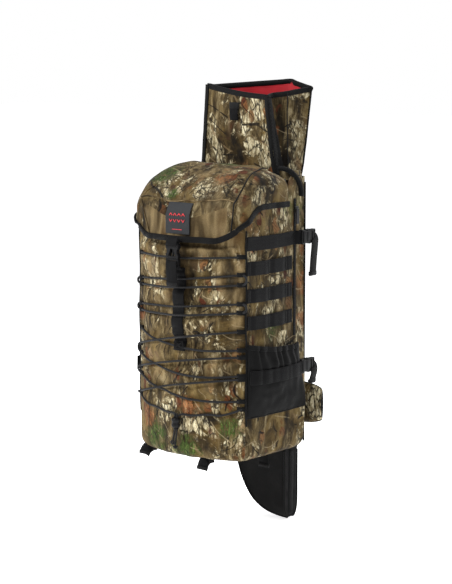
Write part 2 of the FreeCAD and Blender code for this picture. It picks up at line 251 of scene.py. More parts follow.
def bevelled(name, outline, depth, place, material, body, bevel=0.8, replaces=(), holes=()):
    """A moulded piece: an outline of (u, v) pushed by depth, placed by a 4x4 matrix in mm."""
    bm = bmesh.new()
    loops = [outline] + list(holes)
    edges = []
    for loop in loops:
        ring = [bm.verts.new((u, v, 0)) for u, v in loop]
        edges += [bm.edges.new((ring[i], ring[(i + 1) % len(ring)])) for i in range(len(ring))]
    bmesh.ops.triangle_fill(bm, use_beauty=True, use_dissolve=True, edges=edges)
    pushed = bmesh.ops.extrude_face_region(bm, geom=bm.faces[:])
    top = [item for item in pushed["geom"] if isinstance(item, bmesh.types.BMVert)]
    bmesh.ops.translate(bm, verts=top, vec=(0, 0, depth))
    bmesh.ops.recalc_face_normals(bm, faces=bm.faces)
    sharp = [edge for edge in bm.edges if len(edge.link_faces) == 2 and edge.calc_face_angle(0) > 0.6]
    bmesh.ops.bevel(bm, geom=sharp, offset=bevel, segments=2, affect="EDGES", profile=0.6,
                    clamp_overlap=True)
    for vert in bm.verts:
        vert.co = at(*(place @ vert.co))
    mesh = bpy.data.meshes.new(name)
    bm.to_mesh(mesh)
    bm.free()
    mesh.polygons.foreach_set("use_smooth", [True] * len(mesh.polygons))
    return settle(name, mesh, material, body, replaces)


def crumple(x, y, z, size, seed=0.0):
    """Smooth unevenness from -1 to 1."""
    return noise.noise(Vector((x + seed * 137, y - seed * 71, z + seed * 53)) / size)


def smooth_step(t):
    """Eases from 0 to 1."""
    t = min(max(t, 0.0), 1.0)
    return t * t * (3 - 2 * t)


# ---- materials ----------------------------------------------------------
class Nodes:
    """Short-hand for building one material's node tree."""

    def __init__(self, name, rough, shine=None, sheen=None, **shader):
        self.material = bpy.data.materials.new(name)
        self.material.use_nodes = True
        self.tree = self.material.node_tree
        self.shader = self.tree.nodes["Principled BSDF"]
        self.shader.inputs["Roughness"].default_value = rough
        if shine is not None:
            shader["Specular_IOR_Level"] = shine
        if sheen:
            shader["Sheen_Weight"], shader["Sheen_Roughness"] = sheen
        for socket, value in shader.items():
            self.shader.inputs[socket.replace("_", " ")].default_value = value
        self.place = self.add("ShaderNodeTexCoord").outputs["Object"]

    def add(self, kind, inputs=None, **settings):
        node = self.tree.nodes.new(kind)
        for key, value in settings.items():
            setattr(node, key, value)
        for key, value in (inputs or {}).items():
            if isinstance(value, bpy.types.NodeSocket):
                self.tree.links.new(value, node.inputs[key])
            else:
                node.inputs[key].default_value = value
        return node

    def moved(self, scale=(1, 1, 1), turn=(0, 0, 0), shift=(0, 0, 0)):
        node = self.add("ShaderNodeMapping", {"Vector": self.place, "Scale": scale,
                                              "Rotation": turn, "Location": shift})
        return node.outputs["Vector"]

    def noise(self, scale, vector=None, detail=4, rough=0.55, distort=0.0):
        return self.add("ShaderNodeTexNoise", {"Vector": vector or self.place, "Scale": scale,
            "Detail": detail, "Roughness": rough, "Distortion": distort}).outputs["Fac"]

    def wave(self, scale, direction="X", vector=None, profile="SIN", distort=0.0):
        return self.add("ShaderNodeTexWave", {"Vector": vector or self.place, "Scale": scale,
                                              "Distortion": distort, "Detail": 1.0},
                        bands_direction=direction, wave_profile=profile).outputs["Fac"]

    def voronoi(self, scale, vector=None, feature="F1", output="Distance"):
        return self.add("ShaderNodeTexVoronoi", {"Vector": vector or self.place, "Scale": scale},
                        feature=feature).outputs[output]

    def warped(self, vector, scale, amount):
        """A position pushed about by noise."""
        cloud = self.add("ShaderNodeTexNoise", {"Vector": vector, "Scale": scale, "Detail": 4.0})
        push = {0: cloud.outputs["Color"], 1: (amount,) * 3}
        push = self.add("ShaderNodeVectorMath", push, operation="MULTIPLY").outputs[0]
        return self.add("ShaderNodeVectorMath", {0: vector, 1: push}, operation="ADD").outputs[0]

    def ramp(self, factor, stops):
        node = self.add("ShaderNodeValToRGB", {"Fac": factor})
        elements = node.color_ramp.elements
        while len(elements) < len(stops):
            elements.new(0.5)
        for element, (position, colour) in zip(elements, stops):
            element.position = position
            element.color = (*colour, 1) if isinstance(colour, tuple) else (colour, colour, colour, 1)
        return node.outputs["Color"]

    def mix(self, factor, a, b, blend="MIX"):
        node = self.add("ShaderNodeMix", data_type="RGBA", blend_type=blend)
        for socket, value in ((node.inputs[0], factor), (node.inputs[6], a), (node.inputs[7], b)):
            if isinstance(value, bpy.types.NodeSocket):
                self.tree.links.new(value, socket)
            elif isinstance(value, tuple):
                socket.default_value = (*value, 1)
            else:
                socket.default_value = value
        return node.outputs[2]

    def math(self, operation, a, b):
        return self.add("ShaderNodeMath", {0: a, 1: b}, operation=operation).outputs[0]

    def plus(self, a, b):
        return self.math("ADD", a, b)

    def times(self, a, b):
        return self.math("MULTIPLY", a, b)

    def fade(self, factor, start, end, high=1.0, low=0.0):
        """A ramp in grey, from low at start to high at end."""
        return self.ramp(factor, [(start, low), (end, high)])

    def colour(self, socket):
        self.tree.links.new(socket, self.shader.inputs["Base Color"])

    def rough(self, socket):
        self.tree.links.new(socket, self.shader.inputs["Roughness"])

    def bump(self, height, strength=0.4, depth=0.0006, after=None):
        inputs = {"Height": height, "Strength": strength, "Distance": depth}
        if after:
            inputs["Normal"] = after
        out = self.add("ShaderNodeBump", inputs).outputs["Normal"]
        self.tree.links.new(out, self.shader.inputs["Normal"])
        return out


def camo(name, shift, turn=0.0, blur=0.0, dark=1.0, bark=0.5, moss=(), rust=()):
    """Printed woodland cloth on a woven face.

    blur is how much of the print is out of focus, bark how much of it is pale
    bark, and moss and rust list the (x, y, z, radius) spots in millimetres that
    are green or red-brown. dark scales the whole print's brightness for one panel:
    painted shade, so that the side, lid, flap, sleeve and gusset copies of the
    same print come out darker than the front and back.
    """
    n = Nodes(name, 0.9, 0.12, (0.03, 0.5))

    def place(scale, lean=turn, at_shift=shift):
        return n.moved(scale, (0, lean, 0), at_shift)

    base = place((1, 1, 1))
    # dusk behind the trees: olive, umber and tan patches
    broad = n.noise(13, place((1, 1, 0.7)), 5, 0.62, 0.8)
    colour = n.ramp(broad, [(0.34, (0.014, 0.010, 0.005)), (0.44, (0.052, 0.037, 0.015)),
        (0.52, (0.115, 0.082, 0.034)), (0.60, (0.185, 0.142, 0.068)), (0.70, (0.078, 0.048, 0.021))])
    # upright trunks with fine fissures
    trunk = place((1, 1, 0.26), turn + 0.30)
    streaks = n.noise(62, trunk, 8, 0.72, 0.7)
    trunks = n.ramp(streaks, [(0.36, (0.010, 0.008, 0.005)), (0.46, (0.062, 0.046, 0.023)),
                              (0.54, (0.145, 0.114, 0.062)), (0.64, (0.300, 0.255, 0.165))])
    stands = n.noise(15, place((1, 1, 0.4), turn + 0.2, (shift[0], 2, shift[2])), 4, 0.6)
    where = n.fade(stands, 0.46, 0.54, 0.9)
    colour = n.mix(where, colour, trunks)
    # grey-white bark plates with dark cracks between them
    plates = place((1, 1, 0.36), turn - 0.9)
    crack = n.voronoi(84, n.warped(plates, 40.0, 0.034), "DISTANCE_TO_EDGE")
    flakes = n.noise(170, plates, 6, 0.75)
    pale = n.ramp(flakes, [(0.32, (0.085, 0.066, 0.036)), (0.48, (0.270, 0.232, 0.150)),
                           (0.62, (0.560, 0.520, 0.390))])
    pale = n.mix(n.fade(crack, 0.01, 0.12, 0.0, 0.95), pale, (0.014, 0.011, 0.008))
    groves = place((1, 1, 0.75), turn - 0.3, (shift[0] + 3, 0, shift[2]))
    edge = 0.60 - 0.12 * bark
    where = n.fade(n.noise(17, groves, 6, 0.66, 0.9), edge, edge + 0.04)
    colour = n.mix(where, colour, pale)
    # rust and tan leaves: ragged cells with a dark rib
    leaf_at = n.warped(place((1, 1, 0.60), turn + 0.9, (shift[0], 5, shift[2])), 55.0, 0.018)
    cell = n.voronoi(52, leaf_at)
    tone = n.add("ShaderNodeSeparateColor", {"Color": n.voronoi(52, leaf_at, output="Color")})
    leaf_colour = n.ramp(tone.outputs["Green"], [(0.1, (0.090, 0.034, 0.016)), (0.35, (0.150, 0.070, 0.028)),
                                                 (0.55, (0.200, 0.130, 0.064)), (0.75, (0.070, 0.040, 0.022)),
                                                 (0.95, (0.250, 0.185, 0.108))])
    rib = n.wave(75, "DIAGONAL", leaf_at, "SAW", 3.0)
    leaf_colour = n.mix(n.fade(rib, 0.0, 0.4, 0.0, 0.75), leaf_colour, (0.030, 0.017, 0.010))
    drift = n.noise(9, place((1, 1, 1), 0, (shift[2], 1, shift[0])), 3)
    litter = n.fade(drift, 0.47, 0.55)
    is_leaf = n.times(n.math("GREATER_THAN", tone.outputs["Red"], 0.55), litter)
    shape = n.fade(cell, 0.40, 0.50, 0.0, 1.0)
    colour = n.mix(n.times(is_leaf, shape), colour, leaf_colour)
    # short grass and moss in a few places
    blades = n.noise(120, place((1.5, 1.5, 0.30), turn - 0.35), 6, 0.72, 1.6)
    grass = n.ramp(blades, [(0.40, (0.010, 0.016, 0.005)), (0.52, (0.045, 0.070, 0.018)),
                            (0.64, (0.125, 0.165, 0.052))])
    fallen = n.ramp(n.noise(75, trunk, 6, 0.7), [(0.38, (0.030, 0.013, 0.006)), (0.50, (0.150, 0.066, 0.026)),
                                                 (0.62, (0.290, 0.160, 0.080))])
    ragged = n.noise(60, base, 5, 0.7)
    spots = [(spot, grass) for spot in moss] + [(spot, fallen) for spot in rust]
    for (x, y, z, radius), tint in spots:
        away = n.add("ShaderNodeVectorMath", {0: n.place, 1: tuple(at(x, y, z))}, operation="DISTANCE")
        reach = n.math("DIVIDE", away.outputs["Value"], radius / 1000)
        reach = n.plus(reach, n.times(ragged, 1.6))
        inside = n.fade(n.times(reach, 0.5), 0.55, 0.72, 0.0, 1.0)
        colour = n.mix(n.times(inside, n.fade(blades, 0.42, 0.50, 1.0, 0.2)), colour, tint)
    # twigs, light and dark, broken where leaves cross them
    twigs = ((11.0, 0.75, (0.270, 0.225, 0.150), 0.60), (15.0, -0.85, (0.010, 0.008, 0.006), 0.9),
             (8.0, 0.12, (0.010, 0.008, 0.006), 0.85), (6.0, -0.45, (0.200, 0.150, 0.090), 0.55))
    for scale, angle, tint, amount in twigs:
        twig = n.wave(scale, "X", n.moved((1, 1, 1), (0.4, turn + angle, 0.3), shift), "SIN", 9.0)
        broken = n.fade(n.noise(24, place((1, 1, 1), angle), 3), 0.54, 0.58)
        line = n.fade(twig, 0.982, 0.992, amount)
        colour = n.mix(n.times(line, broken), colour, tint)
    # the print's out-of-focus background
    smear = n.noise(21, place((1, 1, 0.30), 0.15), 3, 0.5, 0.4)
    soft = n.ramp(smear, [(0.36, (0.014, 0.010, 0.005)), (0.48, (0.086, 0.062, 0.030)),
                          (0.58, (0.240, 0.188, 0.108)), (0.68, (0.120, 0.080, 0.038))])
    spread = 0.62 - 0.24 * blur
    depth = n.noise(8.5, place((1, 1, 0.6), 0), 4, 0.6)
    middle = n.fade(depth, spread - 0.05, spread + 0.04, 0.92)
    height = n.add("ShaderNodeSeparateXYZ", {"Vector": n.place}).outputs["Z"]
    low, high = at(0, 0, 90).z, at(0, 0, 200).z
    rise = n.add("ShaderNodeMapRange", {"Value": height, "From Min": low, "From Max": high})
    share = n.times(rise.outputs["Result"], min(1.0, 4 * blur))
    colour = n.mix(n.times(middle, share), colour, soft)
    # fine grain of the print, the weave showing through, and rubbed folds
    grain = n.noise(700, None, 2, 0.6)
    colour = n.mix(n.fade(grain, 0.35, 0.65, 0.0, 0.22), colour, (0.0, 0.0, 0.0))
    fade = n.fade(n.noise(30, None, 4), 0.50, 0.80, 0.10)
    colour = n.mix(fade, colour, (0.26, 0.23, 0.18))
    colour = n.add("ShaderNodeGamma", {"Color": colour, "Gamma": 1.35}).outputs["Color"]
    # painted shade: dark scales the whole print, giving each panel its own lit or shaded copy
    colour = n.mix(1.0, colour, (2.0 * dark, 2.0 * dark, 2.0 * dark), "MULTIPLY")
    n.colour(colour)
    weave = n.plus(n.wave(620, "X"), n.wave(620, "Z"))
    first = n.bump(weave, 0.18, 0.0002)
    wrinkles = n.times(n.noise(90, None, 5, 0.65), 0.5)
    creases = n.plus(n.noise(34, None, 3, 0.5, 0.8), wrinkles)
    n.bump(creases, 0.55, 0.0045, first)
    n.rough(n.fade(grain, 0.3, 0.7, 0.95, 0.82))
    return n.material


def webbing_material(name, tint=(0.0026, 0.0026, 0.0028), ribs=430, axis="Z"):
    """Woven nylon: fine cross ribs, a little sheen and dusty wear."""
    n = Nodes(name, 0.62, 0.06, (0.03, 0.4))
    weave = n.times(n.wave(ribs, axis), n.wave(ribs * 0.8, "DIAGONAL"))
    dust = n.fade(n.noise(55, None, 5, 0.7), 0.42, 0.8, 0.35)
    colour = n.mix(n.fade(weave, 0.1, 0.9), tint, tuple(2.6 * c for c in tint))
    n.colour(n.mix(dust, colour, (0.008, 0.0077, 0.0074)))
    n.bump(weave, 0.5, 0.0004)
    return n.material


def plastic_material():
    n = Nodes("moulded_black", 0.42, 0.16)
    grain = n.noise(900, None, 3)
    scuff = n.fade(n.noise(120, n.moved((1, 1, 4)), 6, 0.75), 0.58, 0.75, 0.35)
    n.colour(n.mix(scuff, (0.0035, 0.0035, 0.0038), (0.016, 0.016, 0.0165)))
    n.rough(n.fade(grain, 0.3, 0.7, 0.52, 0.34))
    n.bump(grain, 0.15, 0.0002)
    return n.material


def mesh_material():
    """Stretch mesh: rows of small holes between shiny yarns."""
    n = Nodes("stretch_mesh", 0.6, 0.06, (0.03, 0.35))
    holes = n.voronoi(720)
    tone = n.ramp(holes, [(0.15, (0.0006, 0.0006, 0.0006)), (0.5, (0.005, 0.005, 0.005))])
    patch = n.fade(n.noise(40, None, 4), 0.4, 0.8, 0.5)
    n.colour(n.mix(patch, tone, (0.007, 0.007, 0.007)))
    n.bump(holes, 0.6, 0.0004)
    return n.material


def red_material():
    n = Nodes("red_lining", 0.6, 0.2, (0.05, 0.3))
    grid = n.math("MAXIMUM", n.fade(n.wave(95, "X"), 0.9, 1.0), n.fade(n.wave(95, "Z"), 0.9, 1.0))
    n.colour(n.mix(n.noise(30), (0.20, 0.004, 0.008), (0.44, 0.012, 0.020)))
    height = n.plus(grid, n.noise(45, None, 5))
    n.bump(height, 0.4, 0.001)
    return n.material


def patch_material():
    n = Nodes("patch_rubber", 0.7, 0.2)
    grain = n.noise(800, None, 4)
    n.colour(n.mix(grain, (0.011, 0.012, 0.0135), (0.022, 0.023, 0.025)))
    n.bump(n.plus(grain, n.wave(500, "DIAGONAL")), 0.3, 0.0003)
    return n.material


def mottled_material(name, rough, tints, grain, relief, **shader):
    """Two tints mottled by a noise of a scale; relief is the bump's scale, strength and depth."""
    n = Nodes(name, rough, **shader)
    n.colour(n.mix(n.noise(grain), *tints))
    scale, strength, depth = relief
    n.bump(n.noise(scale), strength, depth)
    return n.material


def nylon_material(name="black_nylon", tint=0.006, cells=360, second="Z"):
    """Plain woven nylon with dust on it; second is the axis of its second row of yarns."""
    n = Nodes(name, 0.75, 0.06, (0.03, 0.45))
    weave = n.times(n.wave(cells, "X"), n.wave(cells, second))
    dust = n.fade(n.noise(30, None, 5, 0.7), 0.45, 0.8, 0.4)
    colour = n.mix(n.fade(weave, 0.1, 0.8), (tint * 0.6,) * 3, (tint * 2.0,) * 3)
    n.colour(n.mix(dust, colour, (tint * 3.2, tint * 3.1, tint * 3.0)))
    n.bump(n.plus(weave, n.noise(60, None, 5)), 0.4, 0.0007)
    return n.material


def spacer_material():
    """Air mesh on the padding: a lattice of round holes."""
    n = Nodes("spacer_mesh", 0.85, 0.06, (0.04, 0.5))
    holes = n.voronoi(300)
    n.colour(n.ramp(holes, [(0.2, (0.001, 0.001, 0.001)), (0.55, (0.016, 0.016, 0.0165))]))
    n.bump(holes, 0.8, 0.0012)
    return n.material


def cord_material():
    n = Nodes("elastic_cord", 0.6, 0.2, (0.03, 0.4))
    braid = n.math("MAXIMUM", n.wave(520, "DIAGONAL"), n.wave(520, "DIAGONAL", n.moved((-1, 1, 1))))
    n.colour(n.mix(braid, (0.002, 0.002, 0.002), (0.010, 0.010, 0.0105)))
    n.bump(braid, 0.6, 0.0005)
    return n.material


def bar_material(name, tint, metallic):
    n = Nodes(name, 0.4, Metallic=metallic)
    n.colour(n.mix(n.noise(60, n.moved((8, 8, 0.4))), tuple(0.8 * c for c in tint), tint))
    n.bump(n.noise(400, n.moved((6, 6, 0.3))), 0.15, 0.0003)
    return n.material


# each camo's dark value is painted shade: the same print is made darker on the side, flap, lid, sleeve and
# gusset panels than on the front and back
M = {
    "front": camo("camo_front", (0.31, 0.0, 0.12), 0.0, 0.34, 0.86, 0.55,
                  ((-70, -195, 30, 60), (10, -205, 12, 55), (95, -175, 60, 40)),
                  ((-90, -190, 60, 40), (20, -205, 100, 34), (-112, -172, 250, 30))),
    "side": camo("camo_side", (1.37, 0.6, 0.45), 0.25, 0.12, 0.72, 0.75,
                 ((128, -25, 445, 48), (128, -90, 235, 40)),
                 ((128, 4, 380, 40), (128, 4, 310, 42), (128, 4, 240, 40), (128, -150, 392, 24))),
    "flap": camo("camo_flap", (6.2, 0.4, 0.9), 0.1, 0.95, 0.60, 0.2),
    "lid": camo("camo_lid", (2.11, 1.2, 0.83), 0.55, 0.22, 0.64, 0.5,
                ((-80, -140, 505, 60), (20, -80, 532, 50), (-30, -190, 478, 26)),
                ((60, -150, 505, 36), (-125, -150, 470, 30))),
    "sleeve": camo("camo_sleeve", (3.3, 0.2, 1.4), 1.25, 0.05, 0.80, 0.95, ((-60, -40, 690, 38),)),
    "gusset": camo("camo_gusset", (2.75, 0.4, 1.15), 0.15, 0.05, 0.60, 0.8),
    "back": camo("camo_back", (4.1, 0.9, 0.3), 0.1, 0.3, 1.0, 0.6, ((118, -10, 480, 50),)),
    "web": webbing_material("webbing_black"),
    "binding": webbing_material("binding_tape", (0.0035, 0.0035, 0.0035), 700, "DIAGONAL"),
    "thread": webbing_material("stitching", (0.007, 0.007, 0.007), 900, "X"),
    "plastic": plastic_material(),
    "mesh": mesh_material(),
    "red": red_material(),
    "patch": patch_material(),
    "mark": mottled_material("red_mark", 0.5, ((0.42, 0.010, 0.014), (0.60, 0.022, 0.026)), 400,
                             (600, 0.2, 0.0002)),
    "nylon": nylon_material(),
    "lining": nylon_material("bag_lining", 0.05, 500),
    "lid_lining": nylon_material("lid_lining", 0.05, 500, second="Y"),
    "spacer": spacer_material(),
    "cord": cord_material(),
    "metal": mottled_material("zip_black", 0.35, ((0.012, 0.012, 0.013), (0.05, 0.05, 0.05)), 300,
                              (700, 0.1, 0.0002), Metallic=0.8),
    "stays": bar_material("aluminium_bar", (0.62, 0.62, 0.64), 1.0),
    "sheet": bar_material("frame_sheet_plastic", (0.60, 0.60, 0.57), 0.0),
}


# ---- the bag's body -----------------------------------------------------
# heights of each lace run at the left and the right edge, as in the CAD
LACE_RUNS = [(365, 372), (318, 340), (306, 322), (270, 288), (258, 272), (225, 205),
             (195, 238), (178, 158), (152, 192), (139, 112), (104, 152)]
WEB_ROWS = (350, 301, 252)    # heights of the webbing on each side
UPPER_STRAP = 394.5
LOWER_STRAP = 154.5
FRONT_COLUMNS = 64
SIDE_COLUMNS = 44
BACK_COLUMNS = 40


def lace_dent(x, z):
    """How far the lace pulls the front cloth in."""
    pull = 0.0
    for left, right in LACE_RUNS:
        height = left + (right - left) * (x + HALF) / (2 * HALF)
        pull += exp(-((z - height) / 7.0) ** 2)
    return 4.0 * min(pull, 1.2)


def front_y(x, z):
    """The front cloth's depth: bowed, fuller low down, quilted by the lace."""
    share = min(abs(x) / HALF, 1.0)
    full = BULGE + 7.0 * exp(-((z - 150) / 120) ** 2) - 9.0 * smooth_step((z - 384) / 24)
    bow = full * (1 - share ** 2.2)
    fold = 6.5 * crumple(x + 0.5 * z, 0, z * 0.8, 46, 1) + 2.6 * crumple(x - z, 0, z, 17, 2)
    tug = (1.0 - share ** 6) * (1.0 - smooth_step((z - 388) / 20))
    return FRONT_EDGE - bow + (fold + lace_dent(x, z)) * tug


def side_x(y, z):
    """The side cloth's reach: slightly full, creased beside the webbing rows."""
    share = (y - FRONT_EDGE) / (BACK - FRONT_EDGE)
    arch = sin(pi * min(max(share, 0), 1)) ** 0.8
    low = 7.0 * exp(-((z - 95) / 90) ** 2) * share
    crease = 0.0
    for row in WEB_ROWS + (395,):
        crease += exp(-((z - row) / 10.0) ** 2)
    fold = 2.8 * crumple(0, y + 0.4 * z, z * 1.2, 28, 5) + 1.2 * crumple(0, y, z, 12, 6)
    return HALF - 3.0 + (2.6 * (1 - 0.6 * crease) + fold * (1 - crease * 0.7)) * arch + low


def wall_x(y, z, sign):
    """The reach of either side's cloth; the left one has folds of its own."""
    return side_x(y, z + 400 if sign < 0 else z)


def seam_wave(z):
    """How far the front seams wander."""
    return 1.2 * sin(z / 23.0) + 0.8 * crumple(0, 0, z, 12, 9)


def body_ring(z, draw_in):
    """One level of the bag's outline, clockwise from the front left seam."""
    ring = []
    seam = seam_wave(z)
    for i in range(FRONT_COLUMNS):
        x = (HALF - 2.0) * (2 * i / FRONT_COLUMNS - 1)
        ring.append((x, front_y(x, z) + seam * (abs(x) > 118)))
    for i in range(SIDE_COLUMNS):
        y = FRONT_EDGE + (BACK - 2 - FRONT_EDGE) * i / SIDE_COLUMNS
        reach = side_x(y, z)
        corner = max(0.0, 1 - i / 2.0)
        ring.append((reach - corner * 1.5, y + seam * corner))
    for i in range(BACK_COLUMNS):
        x = (HALF - 2.0) * (1 - 2 * i / BACK_COLUMNS)
        ring.append((x, BACK - 1.9 + 0.8 * crumple(x, 0, z, 50, 11)))
    for i in range(SIDE_COLUMNS):
        y = BACK - 2 - (BACK - 2 - FRONT_EDGE) * i / SIDE_COLUMNS
        ring.append((-wall_x(y, z, -1), y))
    centre_y = (FRONT_EDGE - BULGE + BACK) / 2
    return [(x * (1 - draw_in / 130), centre_y + (y - centre_y) * (1 - draw_in / 110)) for x, y in ring]


def wall_top(y):
    """Height of the wall's upper edge: low in front, high at the rear shoulders."""
    if y < FRONT_EDGE - 0.5:
        return 430.0
    share = min(max((y - FRONT_EDGE) / 40, 0), 1)
    side = 430 + 28 * share
    rise = min(max((y + 62) / 26, 0), 1)
    return side + (WALL_TOP - side) * rise * rise * (3 - 2 * rise)


EVEN_TOP = 380.0  # above this the cloth's rows draw together towards the sloping edge


def bag_body():
    """The sewn shell: front, sides and back in one piece, lined and open at the top."""
    rows = 120
    base_ring = body_ring(200, 0)
    tops = [wall_top(y) for _, y in base_ring]
    columns = len(base_ring)
    levels = []
    for r in range(rows + 1):
        z = 1.5 + (WALL_TOP - 1.5) * r / rows
        draw = 12.0 * (1 - sqrt(1 - (1 - z / 22) ** 2)) if z < 22 else 0.0
        levels.append((z, body_ring(z, draw)))
    verts = []
    for z, ring in levels:
        for (x, y), top in zip(ring, tops):
            squeezed = z
            if z > EVEN_TOP:
                squeezed = EVEN_TOP + (z - EVEN_TOP) * (top - EVEN_TOP) / (WALL_TOP - EVEN_TOP)
            verts.append((x, y, squeezed))
    faces = grid_faces(rows + 1, columns, closed=True)
    body = make("bag_body", verts, faces, "front",
                replaces=("front_panel", "side_panel_left", "side_panel_right", "back_panel"))
    for material in ("side", "back", "lining"):
        body.data.materials.append(M[material])
    for face in body.data.polygons:
        column = min(v % columns for v in face.vertices)
        if face.vertices[0] % columns == columns - 1:
            column = columns - 1
        if column >= FRONT_COLUMNS:
            rear = FRONT_COLUMNS + SIDE_COLUMNS <= column < FRONT_COLUMNS + SIDE_COLUMNS + BACK_COLUMNS
            face.material_index = 2 if rear else 1
    solidify(body, 2.2).material_offset = 3


def bag_floor():
    """The bottom cloth, with the slot that the rifle butt passes through."""
    ring = body_ring(1.5, 12.0)
    centre = Vector((0, -85, 0))
    count = len(ring)
    verts = []
    steps = 26
    for s in range(steps + 1):
        share = 1 - s / steps
        for x, y in ring:
            sag = 3.0 * (1 - share ** 2) * (1 if s else 0)
            verts.append((x * share, centre.y + (y - centre.y) * share, 1.5 - min(sag, 1.2)))
    faces = []
    for face in grid_faces(steps + 1, count, closed=True):
        x = sum(verts[i][0] for i in face) / 4
        y = sum(verts[i][1] for i in face) / 4
        if not (-12 < x < 98 and -40 < y < 4):
            faces.append(face)
    sheet("bag_floor", verts, faces, "side", 2.0, 1.0, replaces=("bottom_panel",))


def body_seams():
    """Piped and taped seams along the bag's four upright edges and its foot."""
    levels = [66 + 16 * i for i in range(23)]
    for side, sign in SIDES:
        path = [(sign * (HALF - 1.2), FRONT_EDGE - 0.6 + seam_wave(z), z) for z in levels]
        cord("front_seam_" + side, path, 1.5, "binding")
        rear = [(sign * (HALF - 1.5), BACK - 1.8, z) for z in range(10, 505, 22)]
        cord("rear_seam_" + side, rear, 1.8, "binding")
    foot = [(x, y, 10) for x, y in body_ring(10, 3.6)[::6]]
    cord("foot_seam", foot, 1.1, "thread", closed=True)


def divider():
    """The cloth wall between the main bag and the rifle compartment."""
    rows, columns = 40, 24

    def point(r, c):
        x, z = -118 + 236 * c / (columns - 1), 8 + 494 * r / (rows - 1)
        return x, -44.5 + 1.2 * crumple(x, 0, z, 45, 21), z

    wall = make("rifle_divider_cloth", grid_points(rows, columns, point), grid_faces(rows, columns), "lining",
                replaces=("rifle_divider",))
    solidify(wall, 1.6, 0)


bag_body()
bag_floor()
body_seams()
divider()


# ---- lid ----------------------------------------------------------------
LID_HALF = 128.0
LID_REAR = -50.0
LID_CORNER = 112.0       # where the front corners' arcs begin, from the middle
LINING_WALL_GAP = 3.0    # between the lid's cloth and its lining, on the walls
LINING_TOP_GAP = 5.2     # and on the top
LINING_DROP = 6.5        # how much lower still the lining hangs under the crown
# (y, height) along the lid's middle, from its rear edge over the crown to the front
LID_PROFILE = [(-50, 523), (-78, 529), (-105, 531), (-135, 522), (-162, 504), (-185, 480), (-203, 455),
               (-214, 432), (-222, 405)]


def lid_front_y(x):
    """The depth of the lid's front cloth."""
    return FRONT_EDGE - 7 - 35.0 * (1 - (abs(x) / LID_HALF) ** 2.2)


def lid_outline():
    """Points of the lid's plan from the left rear round the front, as (x, y, s).

    s is the distance from the front corner, negative along the front.
    """
    right = []
    for i in range(33):
        x = LID_CORNER * i / 32
        right.append((x, lid_front_y(x), x - 124))
    for i in range(1, 9):
        a = QUARTER * i / 9
        right.append((LID_CORNER + 16 * sin(a), -184.5 + 20 * (1 - cos(a)), -12 + 24 * i / 9))
    for i in range(26):
        y = -163 + (LID_REAR + 163) * i / 25
        right.append((LID_HALF, y, 14 + (y + 163)))
    left = [(-x, y, s) for x, y, s in right[:0:-1]]
    return left + right


def lid_low(s):
    """Height of the lid's lower edge: deep in front, rising round the corners."""
    return 397.0 + 58.0 * smooth_step((s + 50) / 104)


def profile_height(y):
    """Height of the lid's middle line at a depth."""
    if y >= LID_PROFILE[0][0]:
        return LID_PROFILE[0][1]
    for (y0, z0), (y1, z1) in zip(LID_PROFILE, LID_PROFILE[1:]):
        if y1 <= y <= y0:
            t = (y0 - y) / (y0 - y1)
            return z0 + (z1 - z0) * t
    return LID_PROFILE[-1][1]


def lid_top(x, y):
    """Height of the lid's upper cloth, sagging a little between its seams."""
    z = (profile_height(y) + profile_height(y - 6) + profile_height(y + 6)) / 3
    z -= 28.0 * abs(x / LID_HALF) ** 3.8
    z -= 3.0 * exp(-((x - 20) / 60) ** 2 - ((y + 120) / 40) ** 2)
    return z + 4.6 * crumple(x + y, y, 0, 40, 31) + 2.2 * crumple(x - y, y, 0, 17, 32)


def lid_wall(x, y, z):
    """Pushes a wall point outwards by the cloth's soft folds."""
    length = hypot(x, (y + 110) * 0.9) or 1.0
    push = 3.6 * crumple(x, y, z * 0.7, 30, 35) + 1.6 * crumple(x, y, z, 13, 36)
    return x + push * x / length, y + push * (y + 110) * 0.9 / length, z


